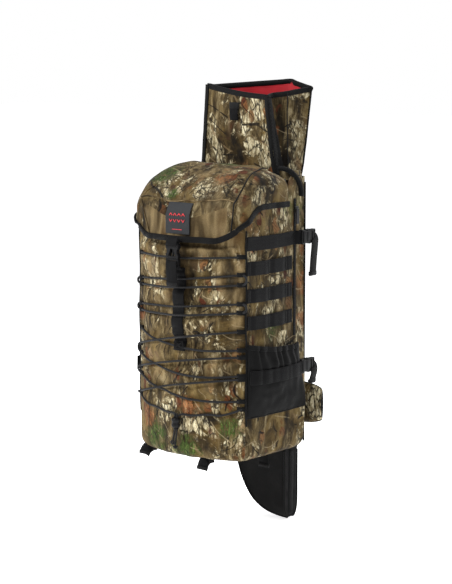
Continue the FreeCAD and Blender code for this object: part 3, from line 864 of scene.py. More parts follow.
def lid():
    """The lid's cloth with its walls, its lining inside and the binding on its edge."""
    outline = lid_outline()
    count = len(outline)
    wall_rows = 16
    top_rows = 26
    verts = []
    for k in range(wall_rows):
        for x, y, s in outline:
            low = lid_low(s)
            edge = max(lid_top(x * 0.97, y + 5) - 13, low + 7)
            if y > LID_REAR - 1:
                edge = max(edge, low + 7)
            t = k / wall_rows
            verts.append(lid_wall(x, y, low + (edge - low) * t))
    for k in range(top_rows + 1):
        q = k / top_rows
        inward = q ** 1.35
        for x, y, s in outline:
            beside = abs(x) > LID_CORNER
            my = min(max(y, -150), -52) if beside else -100.0
            my = my * (1 - inward) + (my if beside else -95) * inward
            px = x * (1 - inward)
            py = y + (my - y) * inward
            curl = max(0.0, 1 - q / 0.22)
            drop = 13.0 * (1 - sqrt(max(0.0, 1 - curl * curl)))
            low = lid_low(s)
            verts.append((px, py, max(lid_top(px, py) - drop, low + 7 * (1 - q))))
    faces = grid_faces(wall_rows + top_rows + 1, count)
    panel = make("lid_cloth", verts, faces, "lid", "lid", ("lid_panel",))
    panel.data.materials.append(M["flap"])
    for face in panel.data.polygons:
        on_wall = face.vertices[0] // count < wall_rows + 1
        if on_wall and abs(face.center.x) < 0.098 and face.center.y < at(0, -170, 0).y:
            face.material_index = 1
    fix_normals(panel)
    relax(panel, 4)
    inside = panel.copy()
    inside.data = panel.data.copy()
    inside.name = "lid_lining"
    bpy.context.collection.objects.link(inside)
    inside.data.materials.clear()
    inside.data.materials.append(M["lid_lining"])
    for vert, normal in zip(inside.data.vertices, [v.normal.copy() for v in panel.data.vertices]):
        above_wall = vert.co.z > at(0, 0, 445).z
        vert.co -= normal * ((LINING_TOP_GAP if above_wall else LINING_WALL_GAP) / 1000)
        if vert.co.z > at(0, 0, 468).z:
            vert.co.z -= LINING_DROP / 1000
    relax(inside, 6)
    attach(inside, "lid")
    solidify(panel, 1.4)

    def outward(t):
        x, y, _ = outline[min(int(t * (count - 1)), count - 1)]
        return (x * 0.6, y + 110, 0) if abs(x) < LID_CORNER else (x, (y + 160) * 0.6, 0)

    rim = [lid_wall(x, y, lid_low(s) + 3.0) for x, y, s in outline[::2]]
    rim = [(x + 0.8 * x / 128, y - (0.8 if abs(x) < 120 else 0), z) for x, y, z in rim]
    ribbon("lid_binding", rim, 10.5, 3.6, outward, "binding", "lid", replaces=("lid_edge_binding",))
    lid_seams()


def lid_front(x, z):
    """A point on the lid's front cloth at a height."""
    lift = max(0.0, (z - 432) / 30)
    y = lid_front_y(x)
    if z > 436:
        for (y0, z0), (y1, z1) in zip(LID_PROFILE, LID_PROFILE[1:]):
            if z1 <= z <= z0:
                y = max(y, y0 + (y1 - y0) * (z0 - z) / (z0 - z1))
    return (x, y - 0.4 * lift, z)


def drape(path, lift=0.5):
    """Raises plan points onto the lid's upper cloth."""
    return [(x, y, lid_top(x, y) + lift) for x, y in path]


def lid_seams():
    """Stitched seams between the lid's panels; the right one is black thread, its dark colour painted shade
    for the shadowed crease along it.
    """
    over = [(84, -60), (90, -78), (96, -98), (102, -130), (107, -158), (109, -178)]
    down = [lid_front(x, z) for x, z in ((109, 466), (108, 448), (106, 430), (104, 410))]
    right = drape(over, 0.9) + [(x, y - 1.2, z) for x, y, z in down]
    # painted shade: the right seam is a black thread cord, standing for both the seam and the dark shadowed
    # crease along it
    cord("lid_seam_right_crease_shade", right, 1.2, "thread", "lid")
    down = [lid_front(x, z) for x, z in ((-98, 464), (-92, 446), (-84, 426), (-74, 406))]
    cord("lid_seam_left", [(x, y - 1.2, z) for x, y, z in down], 1.3, "flap", "lid")
    across = [(x, -196 + 20 * (abs(x) / 128) ** 2.2) for x in range(-108, 109, 12)]
    cord("lid_seam_front", drape(across, 0.7), 1.3, "flap", "lid")


def lid_patch():
    """A rubber patch with a plain woven-look face and small generic chevrons."""
    rows, columns = 14, 16

    def point(r, c):
        px, py, pz = lid_front(-26 + 54 * c / (columns - 1), 409 + 55 * r / (rows - 1))
        return px, py - 1.6, pz

    patch = make("lid_patch_rubber", grid_points(rows, columns, point), grid_faces(rows, columns), "patch",
                 "lid", ("lid_patch",))
    solidify(patch, 2.4, 0)
    edge = patch.modifiers.new("edge", "BEVEL")
    edge.width = 0.0006
    edge.segments = 2
    marks = []
    for row, z in enumerate((444, 434)):
        for i in range(4):
            x = -13 + 9.4 * i
            px, py, pz = lid_front(x, z)
            place = Matrix.Translation((px, py - 2.9 - 0.9 * (z > 436), pz)) @ FACING_FRONT
            peak = 2.6 if row == 0 else -2.6
            chevron = [(-3.4, -peak * 0.6), (0, peak), (3.4, -peak * 0.6), (3.4, -peak * 0.6 - 1.6),
                       (0, peak - 1.9), (-3.4, -peak * 0.6 - 1.6)]
            marks.append(bevelled("mark_" + str(row) + str(i), chevron, 0.8, place, "mark", "lid",
                bevel=0.12))
    px, py, pz = lid_front(1, 417)
    place = Matrix.Translation((px, py - 2.3, pz)) @ FACING_FRONT
    bar = [(-11, -0.5), (11, -0.5), (11, 0.5), (-11, 0.5)]
    marks.append(bevelled("mark_bar", bar, 0.6, place, "mark", "lid", bevel=0.1))
    join("lid_patch_mark", marks)


lid()
lid_patch()


# ---- rifle scabbard -----------------------------------------------------
# corners in plan, clockwise from the front left; the rear wall has a bend of its own
SLEEVE_BASE = [(-76, -44), (101, -44), (115, 7), (58, 7), (-80, 7)]
SLEEVE_MOUTH = [(-75, -29), (80, -47), (115, 40), (62, 48), (-68, -17)]
SLEEVE_TOPS = [669, 651, 665, 678, 667]
SLEEVE_FOOT = 500.0
SLEEVE_COLUMNS = (44, 34, 16, 30, 12)  # points along each wall
GUSSET = 1                             # the wall that folds inwards


def sleeve_corner(index, share):
    """A corner of the sleeve between its foot (0) and its mouth (1)."""
    (bx, by), (mx, my) = SLEEVE_BASE[index], SLEEVE_MOUTH[index]
    ease = share ** 0.8
    return Vector((bx + (mx - bx) * ease, by + (my - by) * ease,
                   SLEEVE_FOOT + (SLEEVE_TOPS[index] - SLEEVE_FOOT) * share))


def sleeve_point(side, t, share):
    """A point on one of the sleeve's five walls, creased by its own weight."""
    first = sleeve_corner(side, share)
    second = sleeve_corner((side + 1) % 5, share)
    p = first.lerp(second, t)
    along = (second - first).normalized()
    out = Vector((along.y, -along.x, 0))
    belly = sin(pi * t)
    fold = 3.0 * crumple(t * 90, side * 40, share * 120, 26, 41)
    fold += 1.4 * crumple(t * 90, side, share * 150, 11, 42)
    p += out * fold * (0.35 + 0.65 * belly) * (1.0 - 0.75 * smooth_step((share - 0.88) / 0.12))
    if side == GUSSET:
        pleat = exp(-((t - 0.20) / 0.13) ** 2)
        p -= out * 15.0 * pleat * (0.35 + 0.65 * share)
    if side == 0:
        p -= out * 4.0 * belly * smooth_step((0.55 - share) / 0.55)
    p.z -= 3.5 * belly * share ** 3 * (side == 0)
    return p


def scabbard():
    """The rifle sleeve above the bag, with its rim, its folded gusset and its closing tab."""
    rows = 60
    columns = [(side, i / n) for side, n in enumerate(SLEEVE_COLUMNS) for i in range(n)]
    verts = [tuple(sleeve_point(side, t, r / rows)) for r in range(rows + 1) for side, t in columns]
    faces = grid_faces(rows + 1, len(columns), closed=True)
    sleeve = make("scabbard_sleeve", verts, faces, "sleeve", replaces=("scabbard_front", "scabbard_back",
        "scabbard_gusset_left", "scabbard_gusset_right", "scabbard_lining"))
    for material in ("gusset", "red"):
        sleeve.data.materials.append(M[material])
    for polygon in sleeve.data.polygons:
        if columns[polygon.vertices[0] % len(columns)][0] == GUSSET:
            polygon.material_index = 1
    solidify(sleeve, 2.4).material_offset = 2
    rim = []
    looks = []
    for side, n in enumerate((10, 9, 4, 8, 2)):
        for i in range(n):
            p = sleeve_point(side, i / n, 0.985)
            rim.append(p)
            tangent = sleeve_point(side, i / n + 0.02, 0.985) - p
            looks.append(Vector((tangent.y, -tangent.x, 0)).normalized())
    rim.append(rim[0])
    looks.append(looks[0])
    shifted = [p - look * 1.2 for p, look in zip(rim, looks)]

    def outward(t):
        return looks[min(int(round(t * (len(looks) - 1))), len(looks) - 1)]

    ribbon("scabbard_rim", shifted, 10.0, 4.6, outward, "binding", replaces=("scabbard_binding",))
    for name, side, t in (("left", 0, 0.0), ("right", 0, 0.985)):
        edge = [sleeve_point(side, t, s / 12) + Vector((0.6 if name == "left" else -2, -1.4, 0))
                for s in range(13)]
        ribbon("scabbard_edge_" + name, edge, 8.5, 2.2, (-0.15, -1, 0), "binding")

    # painted shade: a thin black nylon sheet laid on the gusset's inward pleat beside the edge binding, wide
    # at the foot and narrow near the mouth, stands for the shadow in that fold
    def tuck(r, c):
        across = -0.02 + c / 6 * (0.36 - 0.22 * r / 24)
        return sleeve_point(GUSSET, across, 0.97 * r / 24) + Vector((1.2, -1.0, 0))

    sheet("scabbard_pleat_shadow_sheet", grid_points(25, 7, tuck), grid_faces(25, 7), "nylon", 0.6)
    fold_line = [sleeve_point(GUSSET, 0.44, s / 12) + Vector((0.6, -0.6, 0)) for s in range(13)]
    cord("scabbard_gusset_seam", fold_line, 1.0, "thread")
    rear_edge = [sleeve_point(GUSSET, 0.985, s / 12) + Vector((0.6, 0, 0)) for s in range(13)]
    cord("scabbard_rear_seam", rear_edge, 1.6, "binding")
    top = sleeve_point(0, 0.47, 0.84)
    low = sleeve_point(0, 0.46, 0.66)
    middle = sleeve_point(0, 0.465, 0.75)
    tab = [top + Vector((0, -2.5, 0)), middle + Vector((0, -5.5, 0)), low + Vector((0, -3.0, 0))]
    ribbon("scabbard_closure_tab", tab, 19, 2.6, (0, -1, 0.1), "web", replaces=("scabbard_tab",))
    head = [top + Vector((0, -4.4, 5)), top + Vector((0, -4.8, -7))]
    ribbon("scabbard_tab_anchor", head, 22, 2.0, (0, -1, 0), "thread", smooth_path=False)


# ---- butt pocket --------------------------------------------------------
BUTT_LEFT = [(-14, -2.5), (-11, -26), (-4, -52), (8, -80), (28, -108), (56, -127), (84, -135), (99, -137)]
BUTT_FRONT = -21.0
BUTT_REAR = 19.0
BUTT_RIGHT = 101.0


BUTT_PARTS = (18, 8, 18, 8)  # points along the front, the right, the rear and the left
BUTT_OUT = ((0, -1), (1, 0), (0, 1), (-1, 0))


def butt_pocket():
    """The pouch that holds the rifle's butt, flatter towards its foot."""
    edge = spline([(x, 0, z) for x, z in BUTT_LEFT], 6)
    rows = len(edge)
    mid = (BUTT_FRONT + BUTT_REAR) / 2
    deep = [1 - 0.55 * smooth_step((r / (rows - 1) - 0.55) / 0.45) for r in range(rows)]
    verts = []
    for r, p in enumerate(edge):
        left, z = p.x, p.z
        front = mid + (BUTT_FRONT - mid) * deep[r]
        rear = mid + (BUTT_REAR - mid) * deep[r]
        corners = [(left, front), (BUTT_RIGHT, front), (BUTT_RIGHT, rear), (left, rear)]
        for side, count in enumerate(BUTT_PARTS):
            (x0, y0), (x1, y1) = corners[side], corners[(side + 1) % 4]
            ox, oy = BUTT_OUT[side]
            for i in range(count):
                t = i / count
                fold = 2.0 * crumple(x0 + (x1 - x0) * t, y0 + (y1 - y0) * t, z, 22, 51)
                fold *= sin(pi * t)
                belly = 2.5 * sin(pi * t) * (side == 0) * sin(pi * r / rows)
                x = x0 + (x1 - x0) * t + ox * fold * 0.4
                y = y0 + (y1 - y0) * t + oy * (fold * 0.6 + belly * 0.3)
                verts.append((min(x, 101.8), min(max(y, -21.8), 19.8), z + 0.8 * crumple(x, y, z, 15, 52)))
    ring = sum(BUTT_PARTS)
    faces = grid_faces(rows, ring, closed=True)
    faces.append(tuple(range((rows - 1) * ring, rows * ring)))
    sheet("butt_pocket_cloth", verts, faces, "nylon", 1.6, -1.0, "butt_pocket",
          ("butt_pocket_front", "butt_pocket_back", "butt_pocket_gusset"))
    for name, y in (("front", BUTT_FRONT), ("rear", BUTT_REAR)):
        line = [(edge[r].x - 0.4, mid + (y - mid) * deep[r], edge[r].z) for r in range(0, rows, 3)]
        line.append((BUTT_RIGHT - 1, mid + (y - mid) * 0.45, -137.2))
        cord("butt_binding_" + name, line, 2.0, "binding", "butt_pocket")
        side = [(BUTT_RIGHT - 0.2, mid + (y - mid) * deep[r], edge[r].z) for r in range(rows - 1, -1, -4)]
        cord("butt_edge_" + name, side, 1.7, "binding", "butt_pocket")
    band = [(BUTT_RIGHT + 0.3, 0, -8), (BUTT_RIGHT + 0.3, 0, -60), (BUTT_RIGHT, -1, -100),
            (BUTT_RIGHT - 0.4, -1, -132)]
    ribbon("butt_side_webbing", band, 14, 1.6, (1, 0, 0), "web", "butt_pocket")


scabbard()
butt_pocket()


# ---- side pockets, webbing rows and side straps -------------------------
def pocket_point(s, z, sign):
    """The stretch pocket's cloth: s runs along the side, gathered by the hem."""
    low = 1 - smooth_step(z / 0.75)
    y = -167 + (150 + 20 * low) * s
    top = 212 - 13 * s - 5 * sin(pi * s)
    height = 80 + (top - 80) * z
    belly = sin(pi * s) ** 0.34
    rise = sin(pi * min(z * 1.25 + 0.05, 1.0) / 2) ** 0.7
    reach = 17.0 * belly * rise - 5.0 * belly * smooth_step((z - 0.72) / 0.28)
    gather = cos(30 * s * pi / 2 + 3 * crumple(y, z * 60, 0, 30, 61))
    fold = 1.7 * gather * smooth_step((z - 0.35) / 0.6) * belly
    slant = 3.2 * crumple(y + height * 0.9, height - y * 0.6, 0, 21, 62) * belly * sin(pi * z)
    tuck = -2.6 * exp(-((height - 154) / 12) ** 2) * belly
    wall = wall_x(y, height, sign)
    return (sign * (wall + 1.2 + max(reach + fold + slant + tuck, 0.4 * z)), y, height)


def side_pocket(side, sign):
    """One stretch pocket with its hem and the piping on its edges."""
    rows, columns = 44, 96
    verts = [pocket_point(c / (columns - 1), r / (rows - 1), sign)
             for r in range(rows) for c in range(columns)]
    sheet("mesh_pocket_" + side + "_cloth", verts, grid_faces(rows, columns), "mesh", 0.8,
          replaces=("mesh_pocket_" + side,))
    hem = [pocket_point(c / 24, 1.0, sign) for c in range(25)]
    hems = ("mesh_pocket_hems",) if sign > 0 else ()
    ribbon("mesh_pocket_hem_" + side, [(x + sign * 0.6, y, z - 2) for x, y, z in hem], 9, 2.6,
           (sign, 0, 0.15), "binding", replaces=hems)
    for name, s in (("front", 0.0), ("rear", 1.0)):
        seam = [pocket_point(s, r / 10, sign) for r in range(11)]
        cord("pocket_seam_" + name + "_" + side, seam, 1.5, "binding")
    foot = [pocket_point(c / 16, 0, sign) for c in range(17)]
    cord("pocket_foot_" + side, foot, 1.4, "binding")


def stitches(name, centre, size, face, turn, body="root"):
    """A sewn block: a raised bar of close thread."""
    place = Matrix.Translation(centre) @ face @ Matrix.Rotation(turn, 4, "Z")
    w, h = size[0] / 2, size[1] / 2
    return bevelled(name, [(-w, -h), (w, -h), (w, h), (-w, h)], 0.7, place, "thread", body, bevel=0.25)


TACKS = (-160, -103, -52, -37)  # depths where the webbing rows are sewn down


def webbing_rows(side, sign):
    """Three rows of webbing, tacked down at even places and slack between them."""
    tacks = []
    for row, height in enumerate(WEB_ROWS):
        path = []
        for i in range(34):
            y = -166 + 4 * i
            near = min(abs(y - tack) for tack in TACKS)
            slack = 2.6 * smooth_step(near / 16)
            droop = 1.2 * sin(i / 33 * pi)
            wall = wall_x(y, height, sign)
            path.append((sign * (wall + 1.8 + slack), y, height - droop))
        name = "webbing_row_" + str(row + 1) + "_" + side
        nodes = ("webbing_ladders",) if (sign > 0 and row == 0) else ()
        ribbon(name, path, WEB, 1.7, (sign, 0, 0), "web", replaces=nodes)
        for tack in TACKS:
            x = wall_x(tack, height, sign) + 2.5
            tacks.append(stitches("tack", (sign * x, tack, height), (3.2, 21), SIDE_FACE[sign], 0))
    join("webbing_tacks_" + side, tacks)


def rounded(w, h, r):
    """A rectangle outline with rounded corners."""
    n = 4
    points = []
    for cx, cy, start in ((w / 2 - r, h / 2 - r, 0), (-w / 2 + r, h / 2 - r, 90),
                          (-w / 2 + r, -h / 2 + r, 180), (w / 2 - r, -h / 2 + r, 270)):
        for i in range(n + 1):
            a = radians(start + 90 * i / n)
            points.append((cx + r * cos(a), cy + r * sin(a)))
    return points


def shifted_outline(points, dx, dy):
    return [(x + dx, y + dy) for x, y in points]


def buckle_housing(name, place, body, replaces=(), w=14.0, window=()):
    """The socket half: u across, v towards the strap, w half its width, with a webbing bar."""
    outline = [(-w, 0), (-w + 1.5, 7), (-w + 3.4, 9), (-w + 3.4, 15), (-w + 1.2, 17), (-w + 0.6, 24),
               (-w + 2, 26), (w - 2, 26), (w - 0.6, 24), (w - 1.2, 17), (w - 3.4, 15), (w - 3.4, 9),
               (w - 1.5, 7), (w, 0)]
    slot = shifted_outline(rounded(2 * w - 6, 2.6, 0.8), 0, 22.4)
    holes = [slot[::-1]] + ([window[::-1]] if window else [])
    pieces = [bevelled(name, outline, 8.6, place, "plastic", body, replaces=replaces, holes=holes)]
    rim = shifted_outline(rounded(2 * w - 9, 7, 2), 0, 6)
    if not window:
        above = place @ Matrix.Translation((0, 0, 8.4))
        pieces.append(bevelled(name + "_face", rim, 0.9, above, "plastic", body))
    return join(name, pieces)


def buckle_insert(name, place, body, replaces=(), w=13.0, prongs=True):
    """The plug half: base with two webbing bars, guide tongue and, if asked, its prongs."""
    base = [(-w, -15), (-w, -3), (-w + 1.6, -0.4), (w - 1.6, -0.4), (w, -3), (w, -15), (w - 1.5, -16.5),
            (-w + 1.5, -16.5)]
    holes = [shifted_outline(rounded(2 * w - 6, 2.8, 0.9), 0, v)[::-1] for v in (-6.2, -12.2)]
    pieces = [bevelled(name, base, 7.0, place @ Matrix.Translation((0, 0, 0.7)), "plastic", body,
                       replaces=replaces, holes=holes)]
    tongue = [(-1.8, -0.5), (1.8, -0.5), (1.2, 17.5), (-1.2, 17.5)]
    pieces.append(bevelled(name + "_tongue", tongue, 2.8, place @ Matrix.Translation((0, 0, 2.8)),
                           "plastic", body, bevel=0.5))
    if prongs:
        for sign in (-1, 1):
            pieces.append(buckle_prong(name + "_prong", place, body, sign))
    return join(name, pieces)


def buckle_prong(name, place, body, sign, replaces=()):
    outline = [(5.2, -0.5), (8.6, -0.5), (9.4, 6), (10.4, 10), (10.2, 14), (7.6, 18.5), (5.4, 18.6),
               (5.8, 10)]
    if sign < 0:
        outline = [(-u, v) for u, v in outline][::-1]
    return bevelled(name, outline, 3.0, place @ Matrix.Translation((0, 0, 2.7)), "plastic", body,
                    bevel=0.6, replaces=replaces)


def strap_reach(y, height, sign):
    """How far out the lower strap lies: on the pocket cloth's highest folds."""
    s = min(max((y + 167) / 150, 0), 1)
    reach = [abs(pocket_point(min(max(s + ds, 0), 1), (height - 80 + dz) / 122, sign)[0])
             for ds in (-0.03, 0, 0.03) for dz in (-11, 0, 11)]
    return max(reach) + 1.9


def side_straps(side, sign):
    """Upper and lower compression straps with their buckles and hanging ends."""
    housing_nodes = ("compression_buckle_housings",) if sign > 0 else ()
    for level, height, drop in (("upper", UPPER_STRAP, 62), ("lower", LOWER_STRAP, 24)):
        path = []
        for i in range(23):
            y = -167 + 6.4 * i
            if level == "upper":
                x = wall_x(y, height, sign) + 2.0 + 1.2 * sin(i / 22 * pi)
            else:
                x = strap_reach(y, height, sign)
            path.append((sign * x, y, height - 1.5 * sin(i / 22 * pi)))
        path += [(sign * 130.2, -19, height), (sign * 131.4, -12, height)]
        nodes = ("compression_straps",) if (sign > 0 and level == "upper") else ()
        ribbon(level + "_strap_" + side, path, WEB, 1.8, (sign, 0, 0), "web", replaces=nodes)
        body = level + "_insert_" + side
        # u points up or down, v forwards, depth outwards
        frame_axes = Matrix(((0, 0, sign, sign * 126.9), (0, -1, 0, 10.6), (sign, 0, 0, height),
            (0, 0, 0, 1)))
        nodes = housing_nodes if level == "upper" else ()
        buckle_housing(level + "_housing_" + side, frame_axes, "root", nodes)
        buckle_insert(level + "_insert_" + side + "_plug", frame_axes, body,
                      (level + "_buckle_insert_" + side,))
        tail = [(sign * 131.0, 20, height - 2), (sign * 135.6, 23.5, height - 6),
                (sign * 135.4, 24, height - 16), (sign * 132.5, 24, height - 13 - drop * 0.55),
                (sign * 131.0, 23.5, height - 12.5 - drop)]
        ribbon(level + "_tail_" + side, tail, WEB * 0.94, 1.8, (sign, 0.1, 0), "web", body)
        strap_end(level + "_tail_end_" + side, tail[-1], (0, 0, 8), (0, 0, 1), WEB * 0.95, 4.6,
                  (sign, 0.1, 0), body)


for side_name, side_sign in SIDES:
    side_pocket(side_name, side_sign)
    webbing_rows(side_name, side_sign)
    side_straps(side_name, side_sign)


# ---- front strap, lid buckle and bungee lace ----------------------------
def lid_buckle():
    """The lid's buckle in front: housing, plug, prongs and webbing."""
    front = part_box("lid_buckle_female")
    mouth = (front[0][2] - ORIGIN.z) * 1000
    depth = (front[1][1] - ORIGIN.y) * 1000
    # v points up, u across, depth towards the viewer's side of the front
    place = Matrix(((1, 0, 0, 0), (0, 0, -1, depth), (0, 1, 0, mouth), (0, 0, 0, 1)))
    buckle_housing("lid_buckle_housing", place, "lid", ("lid_buckle_female",), 15.0,
                   window=[(-7.6, 3.0), (7.6, 3.0), (3.4, 16.5), (-3.4, 16.5)])
    buckle_insert("lid_buckle_plug", place, "lid_buckle_insert", ("lid_buckle_male",), 14.0, False)
    for side, sign in SIDES:
        buckle_prong("lid_buckle_prong_" + side + "_arm", place, "prong_" + side, sign,
                     ("lid_buckle_prong_" + side,))
    tab = [(0, -207, 405), (0, -211, 400), (0, depth - 1.5, mouth + 27), (0, depth - 4.3, mouth + 22)]
    ribbon("lid_tab_webbing", tab, 25, 1.8, (0, -1, 0.1), "web", "lid", replaces=("lid_buckle_tab",))
    loop = [(0, depth - 4.3, mouth + 22), (0, depth - 9.6, mouth + 24), (0, depth - 6.0, mouth + 34),
            (0, depth - 2.0, mouth + 37)]
    ribbon("lid_tab_fold", loop, 24.5, 1.6, (0, -1, 0.6), "web", "lid")
    tail = [(0, depth - 8.4, mouth - 5), (0, depth - 10.0, mouth - 10), (0, depth - 9.8, mouth - 22),
            (0, depth - 8.0, mouth - 40), (0, depth - 6.8, mouth - 50)]
    ribbon("lid_strap_loose_end", tail, 24.5, 1.8, (0, -1, 0), "web", "lid_buckle_insert",
           replaces=("lid_strap_tail",))
    strap_end("lid_strap_end_fold", tail[-1], (0, -0.4, 6), (0, -0.2, -1), 25, 4.2, (0, -1, 0),
              "lid_buckle_insert")
    under = [(0, depth - 4.0, mouth - 13), (0, depth - 0.5, mouth - 15), (0, depth + 6, mouth - 22)]
    ribbon("lid_strap_under", under, 24, 1.6, (0, -1, 0.2), "web", "lid_buckle_insert")


def front_strap():
    """The long strap sewn down the middle of the front, under the lace."""
    path = []
    for i in range(27):
        z = 348 - i * 5.75
        path.append((0, front_y(0, z) - 3.6 - 3.5 * sin(min(i / 20, 1) * pi), z))
    ribbon("front_strap_webbing", path, 26, 1.9, (0, -1, 0), "web", replaces=("front_strap",))
    low = path[-4]
    ribbon("front_strap_end", [(0, low[1] - 1.2, low[2]), (0, path[-1][1] - 1.4, path[-1][2] - 2)], 26.5, 2.6,
           (0, -1, 0), "web", smooth_path=False)
    box = []
    y = path[-1][1] - 2.4
    z = (low[2] + path[-1][2]) / 2
    rows = ((0, 7, 20, 1.1, 0), (0, -7, 20, 1.1, 0), (-10, 0, 1.1, 14, 0), (10, 0, 1.1, 14, 0),
            (0, 0, 24, 1.1, 0.61), (0, 0, 24, 1.1, -0.61))
    for dx, dz, w, h, turn in rows:
        box.append(stitches("stitch", (dx, y, z + dz), (w, h), FACING_FRONT, turn))
    join("front_strap_box_stitch", box)


def lace_point(x, z, proud):
    """A point on the front cloth, the cord's radius and more in front of it."""
    return (x, front_y(x, z) - 2.6 - proud, z)


LACE_SAG = [3, 2, 2, 2, 3, 12, -5, 13, -6, 12, -7]
LACE_FOOT = {-1: 100, 1: 98}  # the lowest loop on the left and on the right


def lace_heights(sign):
    """Heights of the lace's loops on one seam, from the top down."""
    return [run[(1 + sign) // 2] for run in LACE_RUNS] + [LACE_FOOT[sign]]


def lace():
    """The elastic cord's runs across the front, its turns round the edges and its loops."""
    for index, ((left, right), sag) in enumerate(zip(LACE_RUNS, LACE_SAG)):
        proud = 0.6 if index % 2 else 4.6
        points = []
        for step in range(-6, 7):
            t = step / 6
            x = 119 * t
            z = (left + right) / 2 + (right - left) * t / 2 - sag * (1 - t * t)
            lift = proud * (1 - t * t)
            over_strap = 5.0 * (abs(x) < 30) * (208 < z < 350)
            loose = 1.5 * crumple(x, 0, z, 30, 71 + index) * (1 - t * t)
            points.append(lace_point(x, z, lift + over_strap + loose))
        nodes = ("lace",) if index == 0 else ()
        cord("lace_" + str(index + 1), points, 2.0, "cord", replaces=nodes)
    for side, sign in reversed(SIDES):
        z0 = LACE_FOOT[sign]
        route = ((119, z0), (92, z0 - 14), (60, 86), (30, 80), (4, 82))
        points = [lace_point(sign * x, z, 0.5) for x, z in route]
        cord("lace_low_" + side, points + [(sign * 2.2, -217, 76)], 2.0, "cord")
    # turns round the edges between neighbouring loops, on the side faces
    for side, sign in reversed(SIDES):
        heights = lace_heights(sign)
        for index, (a, b) in enumerate(zip(heights, heights[1:])):
            if abs(a - b) > 22:
                continue
            bend = [(sign * 119, FRONT_EDGE - 5.4, a), (sign * 124.5, FRONT_EDGE - 4.6, a - 1.5),
                    (sign * 127, FRONT_EDGE - 3.2, (a + b) / 2), (sign * 124.5, FRONT_EDGE - 4.6, b + 1.5),
                    (sign * 119, FRONT_EDGE - 5.4, b)]
            cord("lace_turn_" + side + "_" + str(index), bend, 2.0, "cord")
    lace_loops()


def lace_loops():
    """Small webbing loops sewn into the front seams."""
    loops = []
    for _, sign in reversed(SIDES):
        for z in lace_heights(sign):
            outline = ((123.5, 1.5), (118, 8.5), (111.5, 10.2), (109, 7.6), (114, 4.2))
            path = [(sign * x, FRONT_EDGE - out, z) for x, out in outline]
            loops.append(ribbon("loop", path, 8, 1.1, (sign * 0.3, -1, 0.01), "binding"))
    joined = join("lace_loop_tabs", loops)
    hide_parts("lace_loops")


def lathe(name, profile, centre, body, replaces, ridges=0.0):
    """A turned piece of plastic: (radius, height) pairs round an upright axis, with optional grip ridges."""
    turns = 28
    axis = Vector((0, 0, 1))
    side = axis.orthogonal().normalized()
    other = axis.cross(side)
    verts = []
    for radius, height in profile:
        for i in range(turns):
            a = 2 * pi * i / turns
            r = radius * (1 + ridges * (i % 2))
            turned = side * (r * cos(a)) + other * (r * sin(a))
            verts.append(Vector(centre) + turned + axis * height)
    fix_normals(make(name, verts, tube_faces(len(profile), turns), "plastic", body, replaces))


def cord_lock():
    """The lock's barrel and button, and the lace's two knotted ends."""
    low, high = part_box("cord_lock_body")
    centre = (Vector([(a + b) / 2 for a, b in zip(low, high)]) - ORIGIN) * 1000
    barrel = [(4.5, -8.4), (6.6, -8.6), (7.8, -7.4), (8.3, -4), (7.2, -1.5), (7.2, 1.5), (8.3, 4), (7.8, 7.4),
              (6.2, 8.6), (3.8, 8.4)]
    lathe("cord_lock_barrel", barrel, centre, "cord_lock", ("cord_lock_body",), 0.03)
    press = [(3.2, -14), (4.2, -13.6), (4.6, -12), (4.6, -8.2), (3.8, -7.8)]
    lathe("cord_lock_plunger", press, centre, "cord_lock_press", ("cord_lock_button",))
    right = ((2.2, 0, 17), (2.0, -0.6, 12), (2.6, -0.4, 0), (2.0, 0.6, -14), (-1.5, 2.2, -26),
             (-3.0, 1.4, -36), (-2.0, 0, -44))
    left = ((-2.2, 0, 17), (-2.0, -0.6, 12), (-2.6, -0.4, 0), (-3.0, 0.8, -14), (-7.4, 2.6, -25),
            (-9.6, 2.0, -37))
    for side, tail, nodes in (("right", right, ("lace_tail",)), ("left", left, ())):
        cord("lace_end_" + side, [centre + Vector(p) for p in tail], 1.8, "cord", replaces=nodes)
    round_knot = [i * pi / 5 for i in range(10)]
    flat = [(3.2 * cos(a), 3.0 * sin(a), 1.2 * sin(2 * a)) for a in round_knot]
    upright = [(3.0 * cos(a), 1.2 * sin(2 * a), 3.0 * sin(a)) for a in round_knot]
    for name, knot, turns in (("", (-2.0, 0, -46), flat), ("_left", (-9.8, 2.0, -39), upright)):
        line = [centre + Vector(knot) + Vector(turn) for turn in turns]
        cord("lace_knot" + name, line, 1.9, "cord", closed=True)


lid_buckle()
front_strap()
lace()
cord_lock()


# ---- underside tails, zip and rear shoulders ----------------------------
def bottom_tails():
    """Three short ends of webbing under the bag."""
    places = ((-106, -170, 15, -7), (44, -187, 20, -5), (84, -66, 30, 4))
    for index, (x, y, length, lean) in enumerate(places):
        path = [(x + 8, y + 16, 1.0), (x + 2, y + 4, -1.5), (x + lean * 0.3, y - 1, -length * 0.4),
                (x + lean, y - 2, -length)]
        nodes = ("bottom_tails",) if index == 0 else ()
        ribbon("bottom_tail_" + str(index + 1), path, 22, 1.8, (0.1, -1, -0.2), "web", replaces=nodes)
        strap_end("bottom_tail_end_" + str(index + 1), path[-1], (0.4, 0, 5), (0, -0.3, -1), 22.4, 4.2,
                  (0.1, -1, -0.1))


ZIP_Y = -25.0


